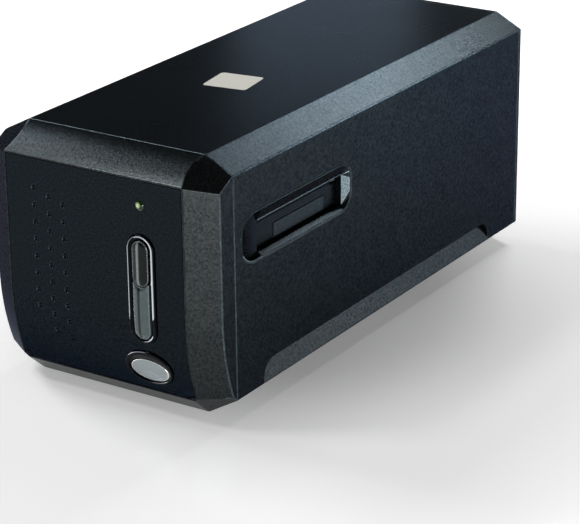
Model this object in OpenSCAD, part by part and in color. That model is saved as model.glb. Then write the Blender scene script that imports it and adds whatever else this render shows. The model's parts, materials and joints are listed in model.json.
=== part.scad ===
// Desktop scanner for 35 mm film strips and mounted slides.
// +Z is up and the front panel faces -Y. The origin is on the table, under the middle of the body.

/* [Casing] */
// Width across the two side walls
body_w = 120; // [118:0.5:122]
// Depth from the front panel to the rear panel
body_d = 272; // [268:1:276]
// Height from the table to the top of the cover
body_h = 119; // [118:0.5:120]
// Wall thickness of the casing mouldings
wall = 2.5; // [2.3:0.1:2.6]
// Height that the rubber feet lift the base
foot_h = 1.5; // [1.2:0.1:1.8]
// Width of the sloped edge along each side of the top cover
top_slope_w = 13.8; // [12:0.1:15]
// Drop of the sloped edge along each side of the top cover
top_slope_h = 7.2; // [6:0.1:8]
// Width of the sloped edge along each side of the base
base_slope_w = 15; // [13:0.1:16]
// Rise of the sloped edge along each side of the base
base_slope_h = 8.9; // [8:0.1:9.5]

/* [Front] */
// Depth of the bezel in front of the housing
bezel_d = 17.6; // [17:0.1:18.5]
// Width of the flat front between the two side facets
front_w = 93.4; // [92:0.2:95]
// How far a side facet runs back at the side wall
facet_d = 8; // [7:0.1:9]
// Height of the top edge of the flat front
front_top = 109.4; // [108.5:0.1:110]
// Radius that curves the lower front backwards
curve_r = 110; // [105:1:120]
// Height at which the lower front starts to curve
curve_z = 50; // [46:1:54]
// Thickness of the inset front panel
panel_t = 2.5; // [2.2:0.1:2.6]

/* [Film slot] */
// Length of the slot opening, front to back
slot_len = 67.2; // [66.8:0.1:67.6]
// Height of the slot opening
slot_h = 14.2; // [14:0.1:14.4]
// Middle of the slot opening along the depth
slot_y = -63.35; // [-63.6:0.05:-63.1]
// Middle of the slot opening above the table
slot_z = 78.4; // [78.3:0.05:78.5]

/* [Controls] */
// How far the two scan buttons stand out of the front panel
scan_proud = 2; // [1.6:0.1:2.2]
// Width of the ring round the two scan buttons
scan_ring_w = 14.3; // [14:0.1:15]
// Height of the ring round the two scan buttons
scan_ring_h = 49.7; // [49:0.1:50]
// Width of the ring round the power button
power_ring_w = 24.7; // [24:0.1:25]
// Height of the ring round the power button
power_ring_h = 16.6; // [16:0.1:17]
// Travel of each button
button_travel = 1.0; // [0.6:0.1:1.0]

/* [Scanning] */
// Travel of the optical carriage
scan_travel = 26; // [24:1:26]
// Radius of the two guide rods
rod_r = 3; // [2.8:0.1:3.2]
// Radius of the lead screw
screw_r = 2.5; // [2.2:0.1:2.5]
// Gear module
gear_m = 0.6; // [0.58:0.01:0.6]
// Teeth on the drive gear
gear_teeth = 32; // [30:1:32]
// Teeth on the motor pinion
pinion_teeth = 12; // [12:1:13]

/* [Hidden] */

// Fits
gap = 0.3;                       // between casing parts
fit = 0.05;                      // radial, running
snug = 0.03;                     // radial, fixed
screw_head = 1.2;                // height of a screw head, over its shank radius

// Casing
side_x = body_w / 2;
front_y = (scan_proud - body_d) / 2;
rear_y = front_y + body_d;
seam_y = front_y + bezel_d;      // bezel meets housing
rear_t = 3;                      // thickness of the rear panel
rear_seam_y = rear_y - rear_t;
top_edge_x = side_x - top_slope_w;
part_z = body_h - top_slope_h;   // cover meets housing
base_edge_x = side_x - base_slope_w;
base_side_z = foot_h + base_slope_h;
top_angle = atan2(top_slope_h, top_slope_w);
base_angle = atan2(base_slope_h, base_slope_w);
floor_z = foot_h + wall;
tongue_t = 1.2;                  // lips that locate one casing part in another
tongue_len = 4;
long_screw_x = 38;
long_screw_ys = [-109, 123];
long_screw_head_z = 87;
long_screw_top = 98;             // cover boss meets housing post
chassis_screw_x = 42;
chassis_screw_ys = [-87, 21, 105];
board_post_x = 29;
board_post_ys = [27, 111];
foot_x = 36;
foot_ys = [-95, 109];
foot_r = 7;
foot_sunk = 1.2;
rear_screw_x = 52.5;
rear_screw_zs = [24, 98];
grip_y = 4.75;                   // finger groove along the foot of each side
grip_len = 202.5;
grip_top = 20.5;
grip_depth = 4;

// Front
arc_y = front_y + curve_r;       // axis of the front curve
facet_angle = atan2(facet_d, (body_w - front_w) / 2);
crown_r = 64;                    // curve over the top facet
crown_fall = 0.53;               // fall of the top corners per mm forward
base_rise = 0.88;                // rise of the underside per mm forward
rim = 0.4;                       // bezel edge round the panel
panel_x = front_w / 2 - rim;
panel_top = front_top - rim;
panel_bottom = 11.2;
flange_t = 1.8;
dimple_r = 1.45;
dimple_pitch = 7.8;
dimple_columns = [[-31.1, 95.4, 8], [-23.3, 92.5, 9], [-15.7, 90.4, 9]];   // x, top z, count
light_x = 24.7;
light_z = 97.7;
light_r = 2.2;

// Controls
scan_x = 24.65;
scan_z = 60.35;
scan_bore_w = 8.8;
scan_bore_h = 45.35;
scan_bore_z = 59.98;             // a little lower than the ring round it
upper_cap_h = 20.45;
upper_cap_z = 72.12;
lower_cap_z = 48.5;
cap_split = 0.4;
power_x = 24.7;
power_z = 23.2;
power_cap_z = 21.8;
power_cap_w = 20;
power_cap_h = 10.6;
ring_proud = 0.9;
cap_flange = 0.9;
board_y = -120.6;                // front face of the button board
board_t = 1.6;
switch_d = 3.5;
plunger_r = 1.7;
plunger_front = -125.4;
button_post_x = [13, 37];
button_post_z = [33, 96];

// Film slot
trim_len = 88.3;
trim_h = 22.2;
trim_front_y = -113;
trim_z = slot_z + 2;
tunnel_x = 52.5;                 // inner end of the slot's tunnel
slot_lip_x = side_x - 2.2;       // the opening starts here
door_x = 54.3;                   // hinge pin
door_z = slot_z + slot_h / 2 - 1.6;
door_t = 1.6;
door_barrel_r = 1.45;
door_pin_r = 0.75;
door_side_gap = 0.4;
door_drop = 12.4;

// Chassis and film gate
chassis_x = 48;
chassis_z = 24;
chassis_t = 2.5;
chassis_top = 69.7;
chassis_front = -99;
chassis_rear = 113;
frame_wall = 3;
rod_x = 36;
rod_z = 36;
rod_front = -97.5;
rod_rear = 79;
rear_wall_y = 77;
screw_z = 33;
gate_x = 52;
gate_flat_x = 46;                // the floor ramps down outside this
gate_floor_z = 73;
gate_rail_t = 2.8;
gate_rail_top = 84;
gate_lip_x = 38;
gate_lip_in = 5;
gate_screw_x = 43.5;
gate_screw_ys = [-92, -34.5];
window_x = 21;
window_y = 17.5;

// Carriage, at its rear end of travel
scan_line_y = slot_y + scan_travel / 2;
optic_z = 52;
sled_x = 29;
sled_front = -65;
sled_rear = 57;
sled_floor = 40;
sled_top = 62;
sled_wall = 2.5;
block_x = 42;
block_ys = [-61, 39];
block_len = 12;
bush_r = 5;
sensor_y = 51;                   // front face of the sensor board
lens_y = 2;                      // middle of the lens
lens_r = 8.5;
arm_y = 5;
arm_z = 95;
nut_y = -19;

// Drive
gear_y = 82;
gear_w = 4;
gear_r = gear_m * gear_teeth / 2;
pinion_r = gear_m * pinion_teeth / 2;
motor_z = screw_z + gear_r + pinion_r;
motor_y = 92;
motor_r = 12.5;
motor_len = 18;
motor_ear_x = 15.4;
bracket_t = 1.6;
shaft_r = 1;
screw_front = -60;
screw_rear = 88;
bearing_r = 4;

// Electronics
pcb_z = 8;
pcb_t = 1.6;
usb_x = -12;
jack_x = 12.5;
jack_z = 16.5;

$fn = 64;

// ---- Helpers ------------------------------------------------------------------

// How a slope's two ends move when the wall is measured t further in
function end_in(angle, t) = t * (1 - cos(angle)) / sin(angle);
function side_in(angle, t) = t * (1 - sin(angle)) / cos(angle);

// Front surface at height z
function front_at(z) = z >= curve_z ? front_y : arc_y - sqrt(pow(curve_r, 2) - pow(curve_z - z, 2));

// Extrudes a (y, z) shape across the width
module across(x0, x1) {
    translate([x0, 0, 0])
        rotate([90, 0, 90])
            linear_extrude(height = x1 - x0)
                children();
}

// Extrudes an (x, z) shape along the depth
module along(y0, y1) {
    translate([0, y1, 0])
        rotate([90, 0, 0])
            linear_extrude(height = y1 - y0)
                children();
}

module block(low, high) {
    translate(low)
        cube(high - low);
}

// Cylinder along Y
module rod(x, z, y0, y1, r) {
    translate([x, y1, z])
        rotate([90, 0, 0])
            cylinder(h = y1 - y0, r = r);
}

module stadium(w, h) {
    r = w / 2;
    for (side = [-1, 1])
        translate([0, side * (h / 2 - r)])
            circle(r = r);
    square([w, h - w], center = true);
}

module ellipse(w, h) {
    steps = 48;
    polygon([for (i = [0 : steps - 1]) [w / 2 * cos(i * 360 / steps), h / 2 * sin(i * 360 / steps)]]);
}

// Pan-head screw that points down, with the top of its head at z = 0
module screw(r, length) {
    difference() {
        union() {
            translate([0, 0, -screw_head * r])
                cylinder(h = screw_head * r, r = 1.85 * r);
            translate([0, 0, -length])
                cylinder(h = length, r = r);
        }
        for (turn = [0, 90])
            rotate(turn)
                translate([-r, -r / 5, -0.75 * r])
                    cube([2 * r, 0.4 * r, r]);
    }
}

module both_sides() {
    for (side = [0, 1])
        mirror([side, 0, 0])
            children();
}

// Everything beyond a plane through p with outward normal n
module beyond(p, n) {
    reach = 300;
    translate(p)
        rotate([0, acos(n[2] / norm(n)), atan2(n[1], n[0])])
            translate([-reach / 2, -reach / 2, 0])
                cube([reach, reach, reach / 4]);
}

// Eight-sided outline of the body, t inside its outer surface
module body_outline(t) {
    x = side_x - t;
    top_x = top_edge_x - end_in(top_angle, t);
    top_side = part_z - side_in(top_angle, t);
    low_x = base_edge_x - end_in(base_angle, t);
    low_side = base_side_z + side_in(base_angle, t);
    polygon([
        [-low_x, foot_h + t], [low_x, foot_h + t], [x, low_side], [x, top_side],
        [top_x, body_h - t], [-top_x, body_h - t], [-x, top_side], [-x, low_side]
    ]);
}

// ---- Casing -------------------------------------------------------------------

module grip_outline() {
    translate([grip_y, base_side_z + 2])
        offset_bar(grip_len, 2 * (grip_top - base_side_z - 2));
}

module offset_bar(len, h) {
    rotate(90)
        stadium(h, len);
}

// Wedge-shaped groove that the fingers hook into, deepest at its top edge
module grip_groove() {
    angle = atan2(grip_depth, grip_top - base_side_z);
    intersection() {
        across(side_x - grip_depth - 1, side_x + 1)
            grip_outline();
        translate([side_x, 0, base_side_z])
            rotate([0, -angle, 0])
                translate([0, -body_d / 2, 0])
                    cube([10, body_d, 40]);
    }
}

module trim_outline(grow) {
    front_r = trim_h / 2 + grow;
    rear_r = 8 + grow;
    y0 = trim_front_y + trim_h / 2;
    y1 = trim_front_y + trim_len - 8;
    translate([y0, trim_z])
        circle(r = front_r);
    for (side = [-1, 1])
        translate([y1, trim_z + side * (trim_h / 2 - 8)])
            circle(r = rear_r);
    translate([y0, trim_z - front_r])
        square([y1 - y0, 2 * front_r]);
    translate([y0, trim_z - trim_h / 2 + 8])
        square([y1 - y0 + rear_r, trim_h - 16]);
}

module housing_posts() {
    for (y = long_screw_ys)
        both_sides()
            translate([long_screw_x, y, floor_z - 1])
                cylinder(h = long_screw_top - floor_z + 1, r = 4.6);
    for (y = chassis_screw_ys)
        both_sides()
            translate([chassis_screw_x, y, floor_z - 1])
                cylinder(h = chassis_z - floor_z + 1, r = 4);
    for (y = board_post_ys)
        both_sides()
            translate([board_post_x, y, floor_z - 1])
                cylinder(h = pcb_z - floor_z + 1, r = 3);
    for (z = rear_screw_zs)
        both_sides() {
            rod(rear_screw_x, z, rear_seam_y - 12, rear_seam_y, 3.5);
            block([rear_screw_x, rear_seam_y - 12, z - 2], [side_x - 1, rear_seam_y, z + 2]);
        }
}

module housing_bores() {
    for (y = long_screw_ys)
        both_sides()
            translate([long_screw_x, y, 0]) {
                cylinder(h = long_screw_head_z, r = 3.3);
                cylinder(h = body_h, r = 1.7);
            }
    for (y = chassis_screw_ys)
        both_sides()
            translate([chassis_screw_x, y, chassis_z - 11])
                cylinder(h = 12, r = 1.5 + snug);
    for (y = board_post_ys)
        both_sides()
            translate([board_post_x, y, floor_z - 0.5])
                cylinder(h = 6, r = 1.25 + snug);
    for (z = rear_screw_zs)
        both_sides()
            rod(rear_screw_x, z, rear_seam_y - 10, rear_seam_y + 1, 1.5 + snug);
    for (y = foot_ys)
        both_sides()
            translate([foot_x, y, 0])
                cylinder(h = foot_h + foot_sunk, r = foot_r + 0.1);
}

module lower_housing() {
    pad_low = base_side_z + 1;
    color("#20262b")
        difference() {
            union() {
                difference() {
                    along(seam_y, rear_seam_y)
                        body_outline(0);
                    along(seam_y - 1, rear_seam_y + 1)
                        body_outline(wall);
                    block([-side_x - 1, front_y, part_z - 0.1], [side_x + 1, rear_y, body_h + 1]);
                    block([wall - side_x, front_y, part_z - 3], [side_x - wall, rear_y, body_h + 1]);
                }
                both_sides()
                    block([side_x - grip_depth - 1.6, grip_y - grip_len / 2 - 2, pad_low],
                          [side_x - wall + 0.5, grip_y + grip_len / 2 + 2, grip_top + 2]);
                housing_posts();
            }
            housing_bores();
            both_sides() {
                across(side_x - wall - 1, side_x + 1)
                    trim_outline(0.1);
                grip_groove();
            }
        }
}

module top_cover() {
    lip_x = side_x - wall - gap;
    color("#262c31")
        difference() {
            union() {
                intersection() {
                    difference() {
                        along(seam_y, rear_seam_y)
                            body_outline(0);
                        along(seam_y - 1, rear_seam_y + 1)
                            body_outline(wall);
                    }
                    block([-side_x - 1, front_y, part_z + 0.1], [side_x + 1, rear_y, body_h + 1]);
                }
                both_sides()
                    block([lip_x - tongue_t, seam_y + 6, part_z - tongue_len],
                          [lip_x, rear_seam_y - 6, part_z + 0.8]);
                for (y = long_screw_ys)
                    both_sides()
                        translate([long_screw_x, y, long_screw_top + 0.1])
                            cylinder(h = body_h - wall / 2 - long_screw_top, r = 4);
            }
            for (y = long_screw_ys)
                both_sides()
                    translate([long_screw_x, y, long_screw_top - 1])
                        cylinder(h = 15, r = 1.5 + snug);
        }
}

// Plan of the front: a flat with a facet at each side, as [distance from the arc's axis, x]
function front_plan(t) =
    let (x = side_x - t,
         edge_x = front_w / 2 - end_in(facet_angle, t),
         side_r = curve_r - facet_d - side_in(facet_angle, t),
         back_r = curve_r - bezel_d - 6)
    [[back_r, -x], [side_r, -x], [curve_r - t, -edge_x], [curve_r - t, edge_x], [side_r, x], [back_r, x]];

module front_form(t) {
    plan = front_plan(t);
    translate([0, 0, curve_z])
        linear_extrude(height = body_h - curve_z)
            polygon([for (p = plan) [p[1], arc_y - p[0]]]);
    translate([0, arc_y, curve_z])
        rotate([0, 90, 0])
            rotate([0, 0, -90])
                rotate_extrude(angle = 30, $fn = 180)
                    polygon(plan);
}

module crown(t) {
    rise = body_h - front_top;
    half = sqrt(pow(bezel_d, 2) + pow(rise, 2)) / 2;
    reach = sqrt(pow(crown_r, 2) - pow(half, 2));
    across(-side_x, side_x)
        translate([front_y + bezel_d / 2 + reach * rise / (2 * half),
                   front_top + rise / 2 - reach * bezel_d / (2 * half)])
            circle(r = crown_r - t, $fn = 180);
}

// Outer form of the bezel, t inside its outer surface
module bezel_form(t, back) {
    corner_top = [top_slope_h / top_slope_w, -crown_fall, 1];
    corner_low = [base_slope_h / base_slope_w, -base_rise, -1];
    under = [0, -base_rise, -1];
    difference() {
        intersection() {
            along(front_y - 1, back)
                body_outline(t);
            front_form(t);
            crown(t);
        }
        both_sides() {
            beyond([top_edge_x, seam_y, body_h] - t * corner_top / norm(corner_top), corner_top);
            beyond([base_edge_x, seam_y, foot_h] - t * corner_low / norm(corner_low), corner_low);
        }
        beyond([0, seam_y, foot_h] - t * under / norm(under), under);
    }
}

// Everything behind the front surface, moved forward by proud
module behind_front(proud, x0, x1) {
    across(x0, x1) {
        translate([arc_y, curve_z])
            circle(r = curve_r + proud, $fn = 180);
        translate([front_y - proud, curve_z])
            square([curve_r, body_h]);
    }
}

// Slab that follows the front surface, between two depths
module front_slab(proud, deep, x0, x1) {
    difference() {
        behind_front(proud, x0, x1);
        behind_front(-deep, x0 - 1, x1 + 1);
    }
}

module panel_outline(grow) {
    x = panel_x + grow;
    low = panel_bottom - grow;
    polygon([
        [-x, low + 1.8], [-x + 5, low], [x - 5, low], [x, low + 1.8],
        [x, panel_top + grow], [-x, panel_top + grow]
    ]);
}

module front_bezel() {
    color("#2e3439")
        difference() {
            union() {
                difference() {
                    bezel_form(0, seam_y);
                    bezel_form(wall, seam_y + 1);
                }
                intersection() {
                    bezel_form(0.6, seam_y);
                    front_slab(-panel_t, panel_t + flange_t, -side_x, side_x);
                    along(front_y, seam_y)
                        panel_outline(3);
                }
                difference() {
                    along(seam_y - 2, seam_y + tongue_len)
                        body_outline(wall + gap);
                    along(seam_y - 3, seam_y + tongue_len + 1)
                        body_outline(wall + gap + tongue_t);
                    both_sides()
                        block([side_x - 8, seam_y + 0.5, trim_z - 15],
                              [side_x, seam_y + tongue_len + 1, trim_z + 15]);
                }
            }
            intersection() {
                front_slab(1, panel_t, -side_x, side_x);
                along(front_y - 1, seam_y)
                    panel_outline(0);
            }
            along(front_y - 1, seam_y)
                panel_outline(-2.4);
        }
}

module scan_outline(w, h) {
    translate([scan_x, scan_z])
        stadium(w, h);
}

// The ring's bore, or what fits in it with room all round
module scan_bore(room) {
    translate([scan_x, scan_bore_z])
        stadium(scan_bore_w - 2 * room, scan_bore_h - 2 * room);
}

module upper_outline(grow) {
    translate([scan_x, upper_cap_z])
        stadium(scan_bore_w - 2 * gap + 2 * grow, upper_cap_h + 2 * grow);
}

module lower_outline() {
    top_z = upper_cap_z - upper_cap_h / 2 + 1.4;
    difference() {
        intersection() {
            scan_bore(gap);
            translate([scan_x - scan_bore_w, 0])
                square([2 * scan_bore_w, top_z]);
        }
        upper_outline(cap_split);
    }
}

module front_panel() {
    color("#23292d")
        difference() {
            union() {
                intersection() {
                    front_slab(0, panel_t, -side_x, side_x);
                    along(front_y - 1, seam_y)
                        panel_outline(-gap);
                }
                for (x = button_post_x, z = button_post_z)
                    rod(x, z, front_at(z) + 1, board_y, 2.2);
            }
            along(front_y - 1, board_y) {
                scan_outline(scan_ring_w + 0.2, scan_ring_h + 0.2);
                translate([power_x, power_z])
                    ellipse(power_ring_w + 0.2, power_ring_h + 0.2);
            }
            rod(light_x, light_z, front_y - 1, front_y + 5, light_r + 0.1);
            for (x = button_post_x, z = button_post_z)
                rod(x, z, board_y - 6, board_y + 1, 0.95 + snug);
            for (column = dimple_columns, row = [0 : column[2] - 1]) {
                z = column[1] - row * dimple_pitch;
                translate([column[0], front_at(z) - 0.7, z])
                    rotate([-90, 0, 0])
                        cylinder(h = 1.5, r1 = dimple_r + 0.6, r2 = dimple_r / 2, $fn = 32);
            }
        }
}

module rear_panel() {
    edge = 0.8;
    color("#20262b")
        difference() {
            union() {
                along(rear_seam_y, rear_y - edge)
                    body_outline(0);
                hull() {
                    along(rear_y - edge - 0.1, rear_y - edge)
                        body_outline(0);
                    along(rear_y - 0.1, rear_y)
                        body_outline(edge);
                }
                difference() {
                    along(rear_seam_y - tongue_len, rear_seam_y + 1)
                        body_outline(wall + gap);
                    along(rear_seam_y - tongue_len - 1, rear_seam_y)
                        body_outline(wall + gap + tongue_t);
                    both_sides()
                        for (z = rear_screw_zs)
                            block([rear_screw_x - 5, rear_seam_y - 10, z - 5],
                                  [side_x, rear_seam_y, z + 5]);
                    block([-side_x, rear_seam_y - 10, part_z - 6], [side_x, rear_seam_y, part_z + 1]);
                }
            }
            block([usb_x - 5.8, rear_y - 10, pcb_z + pcb_t + 0.2], [usb_x + 5.8, rear_y + 1, pcb_z + pcb_t + 10.8]);
            rod(jack_x, jack_z, rear_y - 10, rear_y + 1, 3.9);
            both_sides()
                for (z = rear_screw_zs) {
                    rod(rear_screw_x, z, rear_y - 10, rear_y + 1, 1.7);
                    rod(rear_screw_x, z, rear_y - 0.2 - 1.5 * screw_head, rear_y + 1, 3.1);
                }
        }
}

module rubber_feet() {
    color("#101214")
        for (y = foot_ys)
            both_sides()
                translate([foot_x, y, 0])
                    cylinder(h = foot_h + foot_sunk, r = foot_r);
}

module cover_screws() {
    color("silver")
        for (y = long_screw_ys)
            both_sides()
                translate([long_screw_x, y, long_screw_head_z - 1.5 * screw_head])
                    mirror([0, 0, 1])
                        screw(1.5, 26);
}

// Screws of the rear panel and of the chassis
module case_screws() {
    color("silver")
        both_sides() {
            for (z = rear_screw_zs)
                translate([rear_screw_x, rear_y - 0.2, z])
                    rotate([-90, 0, 0])
                        screw(1.5, 12);
            for (y = chassis_screw_ys)
                translate([chassis_screw_x, y, chassis_z + chassis_t + 1.5 * screw_head])
                    screw(1.5, 12);
        }
}

// Screws of the film gate and of the main board
module small_screws() {
    color("silver")
        both_sides() {
            for (y = gate_screw_ys)
                translate([gate_screw_x, y, chassis_top + 1.2 + 1.25 * screw_head])
                    screw(1.25, 6.5);
            for (y = board_post_ys)
                translate([board_post_x, y, pcb_z + pcb_t + 1.25 * screw_head])
                    screw(1.25, 6.5);
        }
}

// Blank sticker on the cover
module top_label() {
    color("white")
        translate([-0.3, -27.9, body_h])
            rotate(8)
                linear_extrude(height = 0.12)
                    square([21.5, 20.5], center = true);
}

// ---- Film slot ----------------------------------------------------------------

// Sloped way in, wide at the side wall and down to the opening inside it
module slot_mouth() {
    hull() {
        across(side_x, side_x + 0.1)
            intersection() {
                trim_outline(-0.7);
                translate([slot_y - slot_len / 2, 0])
                    square([slot_len + 10, body_h]);
            }
        across(slot_lip_x, slot_lip_x + 0.1)
            translate([slot_y - slot_len / 2, slot_z - slot_h / 2])
                square([slot_len, slot_h]);
    }
}

// Rounded scoop for a fingertip in front of the opening
module slot_scoop() {
    depth = 2.7;
    reach = 14;
    scoop_r = (depth * depth + reach * reach) / (2 * depth);
    slot_front = slot_y - slot_len / 2;
    intersection() {
        across(side_x - 5, side_x + 1)
            trim_outline(-0.7);
        translate([side_x + scoop_r - depth, slot_front - 0.5, slot_z - 20])
            cylinder(h = 50, r = scoop_r, $fn = 180);
        block([side_x - 5, trim_front_y - 5, slot_z - 20], [side_x + 1, slot_front + 0.01, slot_z + 30]);
    }
}

module slot_trim() {
    hole_y0 = slot_y - slot_len / 2;
    hole_y1 = slot_y + slot_len / 2;
    hole_z0 = slot_z - slot_h / 2;
    hole_z1 = slot_z + slot_h / 2;
    color("#191d20")
        difference() {
            union() {
                across(side_x - wall - 0.2, side_x)
                    trim_outline(0);
                across(side_x - 5.7, side_x - wall - 0.2)
                    trim_outline(1.6);
                block([tunnel_x, hole_y0 - 3.4, hole_z0 - 1.5], [side_x - 4, hole_y1 + 3.4, hole_z1 + 1.5]);
            }
            block([tunnel_x - 1, hole_y0, hole_z0], [side_x + 1, hole_y1, hole_z1]);
            slot_mouth();
            slot_scoop();
            rod(door_x, door_z, hole_y0 - 2.5, hole_y1 + 2.5, door_pin_r + snug);
        }
}

module slot_trim_right() {
    slot_trim();
}

module slot_trim_left() {
    mirror([1, 0, 0])
        slot_trim();
}

module dust_door() {
    y0 = slot_y - slot_len / 2 + door_side_gap;
    y1 = slot_y + slot_len / 2 - door_side_gap;
    spring_room = 5;
    color("#121415")
        difference() {
            union() {
                rod(door_x, door_z, y0, y1, door_barrel_r);
                block([door_x - door_t / 2, y0, door_z - door_drop], [door_x + door_t / 2, y1, door_z]);
                block([door_x, y0 + 15.5, door_z - door_drop + 0.8],
                      [door_x + door_t / 2 + 0.5, y0 + 55.6, door_z - 4.9]);
            }
            rod(door_x, door_z, y0 - 1, y1 + 1, door_pin_r + fit);
            block([door_x - 3, y1 - spring_room, door_z - 2.2], [door_x + 3, y1 + 1, door_z + 2]);
        }
}

module dust_door_right() {
    dust_door();
}

module dust_door_left() {
    mirror([1, 0, 0])
        dust_door();
}

module door_pins() {
    color("silver")
        both_sides()
            rod(door_x, door_z, slot_y - slot_len / 2 - 2.4, slot_y + slot_len / 2 + 2.4, door_pin_r);
}

// Closed-wound torsion spring round the pin, its long leg down the back of the door
module door_spring() {
    wire_r = 0.22;
    coil_r = 1.1;
    turns = 7;
    pitch = 2 * wire_r;
    outer_r = coil_r + wire_r;
    y0 = slot_y + slot_len / 2 - door_side_gap - 4.3;
    color("silver") {
        translate([door_x, y0 - wire_r, door_z])
            rotate([-90, 0, 0])
                rotate_extrude($fn = 40)
                    polygon([
                        [coil_r - wire_r, 0],
                        for (i = [0 : turns - 1], p = [[0.1, 0], [0, 0.25], [0, 0.75]])
                            [outer_r - p[0], (i + p[1]) * pitch],
                        [outer_r - 0.1, turns * pitch],
                        [coil_r - wire_r, turns * pitch]
                    ]);
        translate([door_x - coil_r, y0 + 0.05, door_z - 6])
            cylinder(h = 6, r = wire_r - 0.04, $fn = 16);
    }
}

module door_spring_right() {
    door_spring();
}

module door_spring_left() {
    mirror([1, 0, 0])
        door_spring();
}

// ---- Controls -----------------------------------------------------------------

ring_back = panel_t + 1.1;       // the rings reach this far behind the front surface

module scan_button_ring() {
    color("black")
        difference() {
            union() {
                intersection() {
                    front_slab(ring_proud, ring_back, 0, side_x);
                    along(front_y - 5, seam_y)
                        scan_outline(scan_ring_w, scan_ring_h);
                }
                intersection() {
                    front_slab(-panel_t - 0.1, ring_back, 0, side_x);
                    along(front_y - 5, seam_y)
                        scan_outline(scan_ring_w + 2.6, scan_ring_h + 2.6);
                }
            }
            along(front_y - 5, seam_y)
                scan_bore(0);
        }
}

// Cap in a ring, with a flange that keeps it in and a stem that reaches its switch
module button_cap(proud, stem_x, stem_z) {
    flange_front = ring_back + 0.15;
    intersection() {
        front_slab(proud, flange_front + 0.5, 0, side_x);
        along(front_y - 5, seam_y)
            children(0);
    }
    intersection() {
        front_slab(-flange_front, flange_front + 1, 0, side_x);
        along(front_y - 5, seam_y)
            children(1);
    }
    rod(stem_x, stem_z, front_at(stem_z) + flange_front, plunger_front, plunger_r);
}

module upper_scan_button() {
    color("#4a4f52")
        button_cap(scan_proud, scan_x, upper_cap_z) {
            upper_outline(0);
            translate([scan_x - scan_bore_w / 2 - cap_flange, upper_cap_z - 5])
                square([scan_bore_w + 2 * cap_flange, 14]);
        }
}

module lower_scan_button() {
    color("#8d9496")
        button_cap(scan_proud, scan_x, lower_cap_z) {
            lower_outline();
            translate([scan_x - scan_bore_w / 2 - cap_flange, lower_cap_z - 7])
                square([scan_bore_w + 2 * cap_flange, 14]);
        }
}

module power_button_ring() {
    color("black")
        difference() {
            union() {
                intersection() {
                    front_slab(ring_proud, ring_back, 0, side_x);
                    along(front_y - 5, seam_y)
                        translate([power_x, power_z])
                            ellipse(power_ring_w, power_ring_h);
                }
                intersection() {
                    front_slab(-panel_t - 0.1, ring_back, 0, side_x);
                    along(front_y - 5, seam_y)
                        translate([power_x, power_z])
                            ellipse(power_ring_w + 2.2, power_ring_h + 2.2);
                }
            }
            along(front_y - 5, seam_y)
                translate([power_x, power_cap_z])
                    ellipse(power_cap_w + 2 * gap, power_cap_h + 2 * gap);
        }
}

module power_button() {
    color("silver")
        button_cap(ring_proud - 0.2, power_x, power_cap_z) {
            translate([power_x, power_cap_z])
                ellipse(power_cap_w, power_cap_h);
            translate([power_x, power_cap_z])
                ellipse(power_cap_w + 2 * cap_flange, power_cap_h);
        }
}

module light_pipe() {
    crown = 0.8;
    color("#9cff57")
        union() {
            rod(light_x, light_z, front_y, board_y - 4, light_r);
            rod(light_x, light_z, front_y + panel_t + 0.1, front_y + panel_t + 1.1, light_r + 1.2);
            translate([light_x, front_y - crown, light_z])
                rotate([-90, 0, 0])
                    cylinder(h = crown, r1 = light_r - 2 * crown / 3, r2 = light_r);
        }
}

module status_led() {
    color("#9cff57")
        union() {
            rod(light_x, light_z, board_y - 3.8, board_y, 1.5);
            rod(light_x, light_z, board_y - 1, board_y, 1.9);
        }
}

module button_board() {
    color("darkgreen")
        difference() {
            block([9, board_y, 16], [41, board_y + board_t, 104]);
            for (x = button_post_x, z = button_post_z)
                rod(x, z, board_y - 1, board_y + board_t + 1, 1.2);
        }
}

module button_board_screws() {
    color("silver")
        for (x = button_post_x, z = button_post_z)
            translate([x, board_y + board_t + 0.95 * screw_head, z])
                rotate([-90, 0, 0])
                    screw(0.95, 7);
}

switch_places = [[scan_x, upper_cap_z], [scan_x, lower_cap_z], [power_x, power_cap_z]];

module switch_bodies() {
    color("#2a2a2c")
        for (p = switch_places)
            difference() {
                block([p[0] - 3, board_y - switch_d, p[1] - 3], [p[0] + 3, board_y, p[1] + 3]);
                rod(p[0], p[1], board_y - switch_d - 1, board_y - 0.6, plunger_r + fit);
            }
}

module switch_plunger(place) {
    color("#d8d4c8")
        rod(place[0], place[1], plunger_front, board_y - 0.8 - button_travel, plunger_r);
}

module upper_switch_plunger() {
    switch_plunger(switch_places[0]);
}

module lower_switch_plunger() {
    switch_plunger(switch_places[1]);
}

module power_switch_plunger() {
    switch_plunger(switch_places[2]);
}

// ---- Chassis and film gate ------------------------------------------------------

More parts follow.
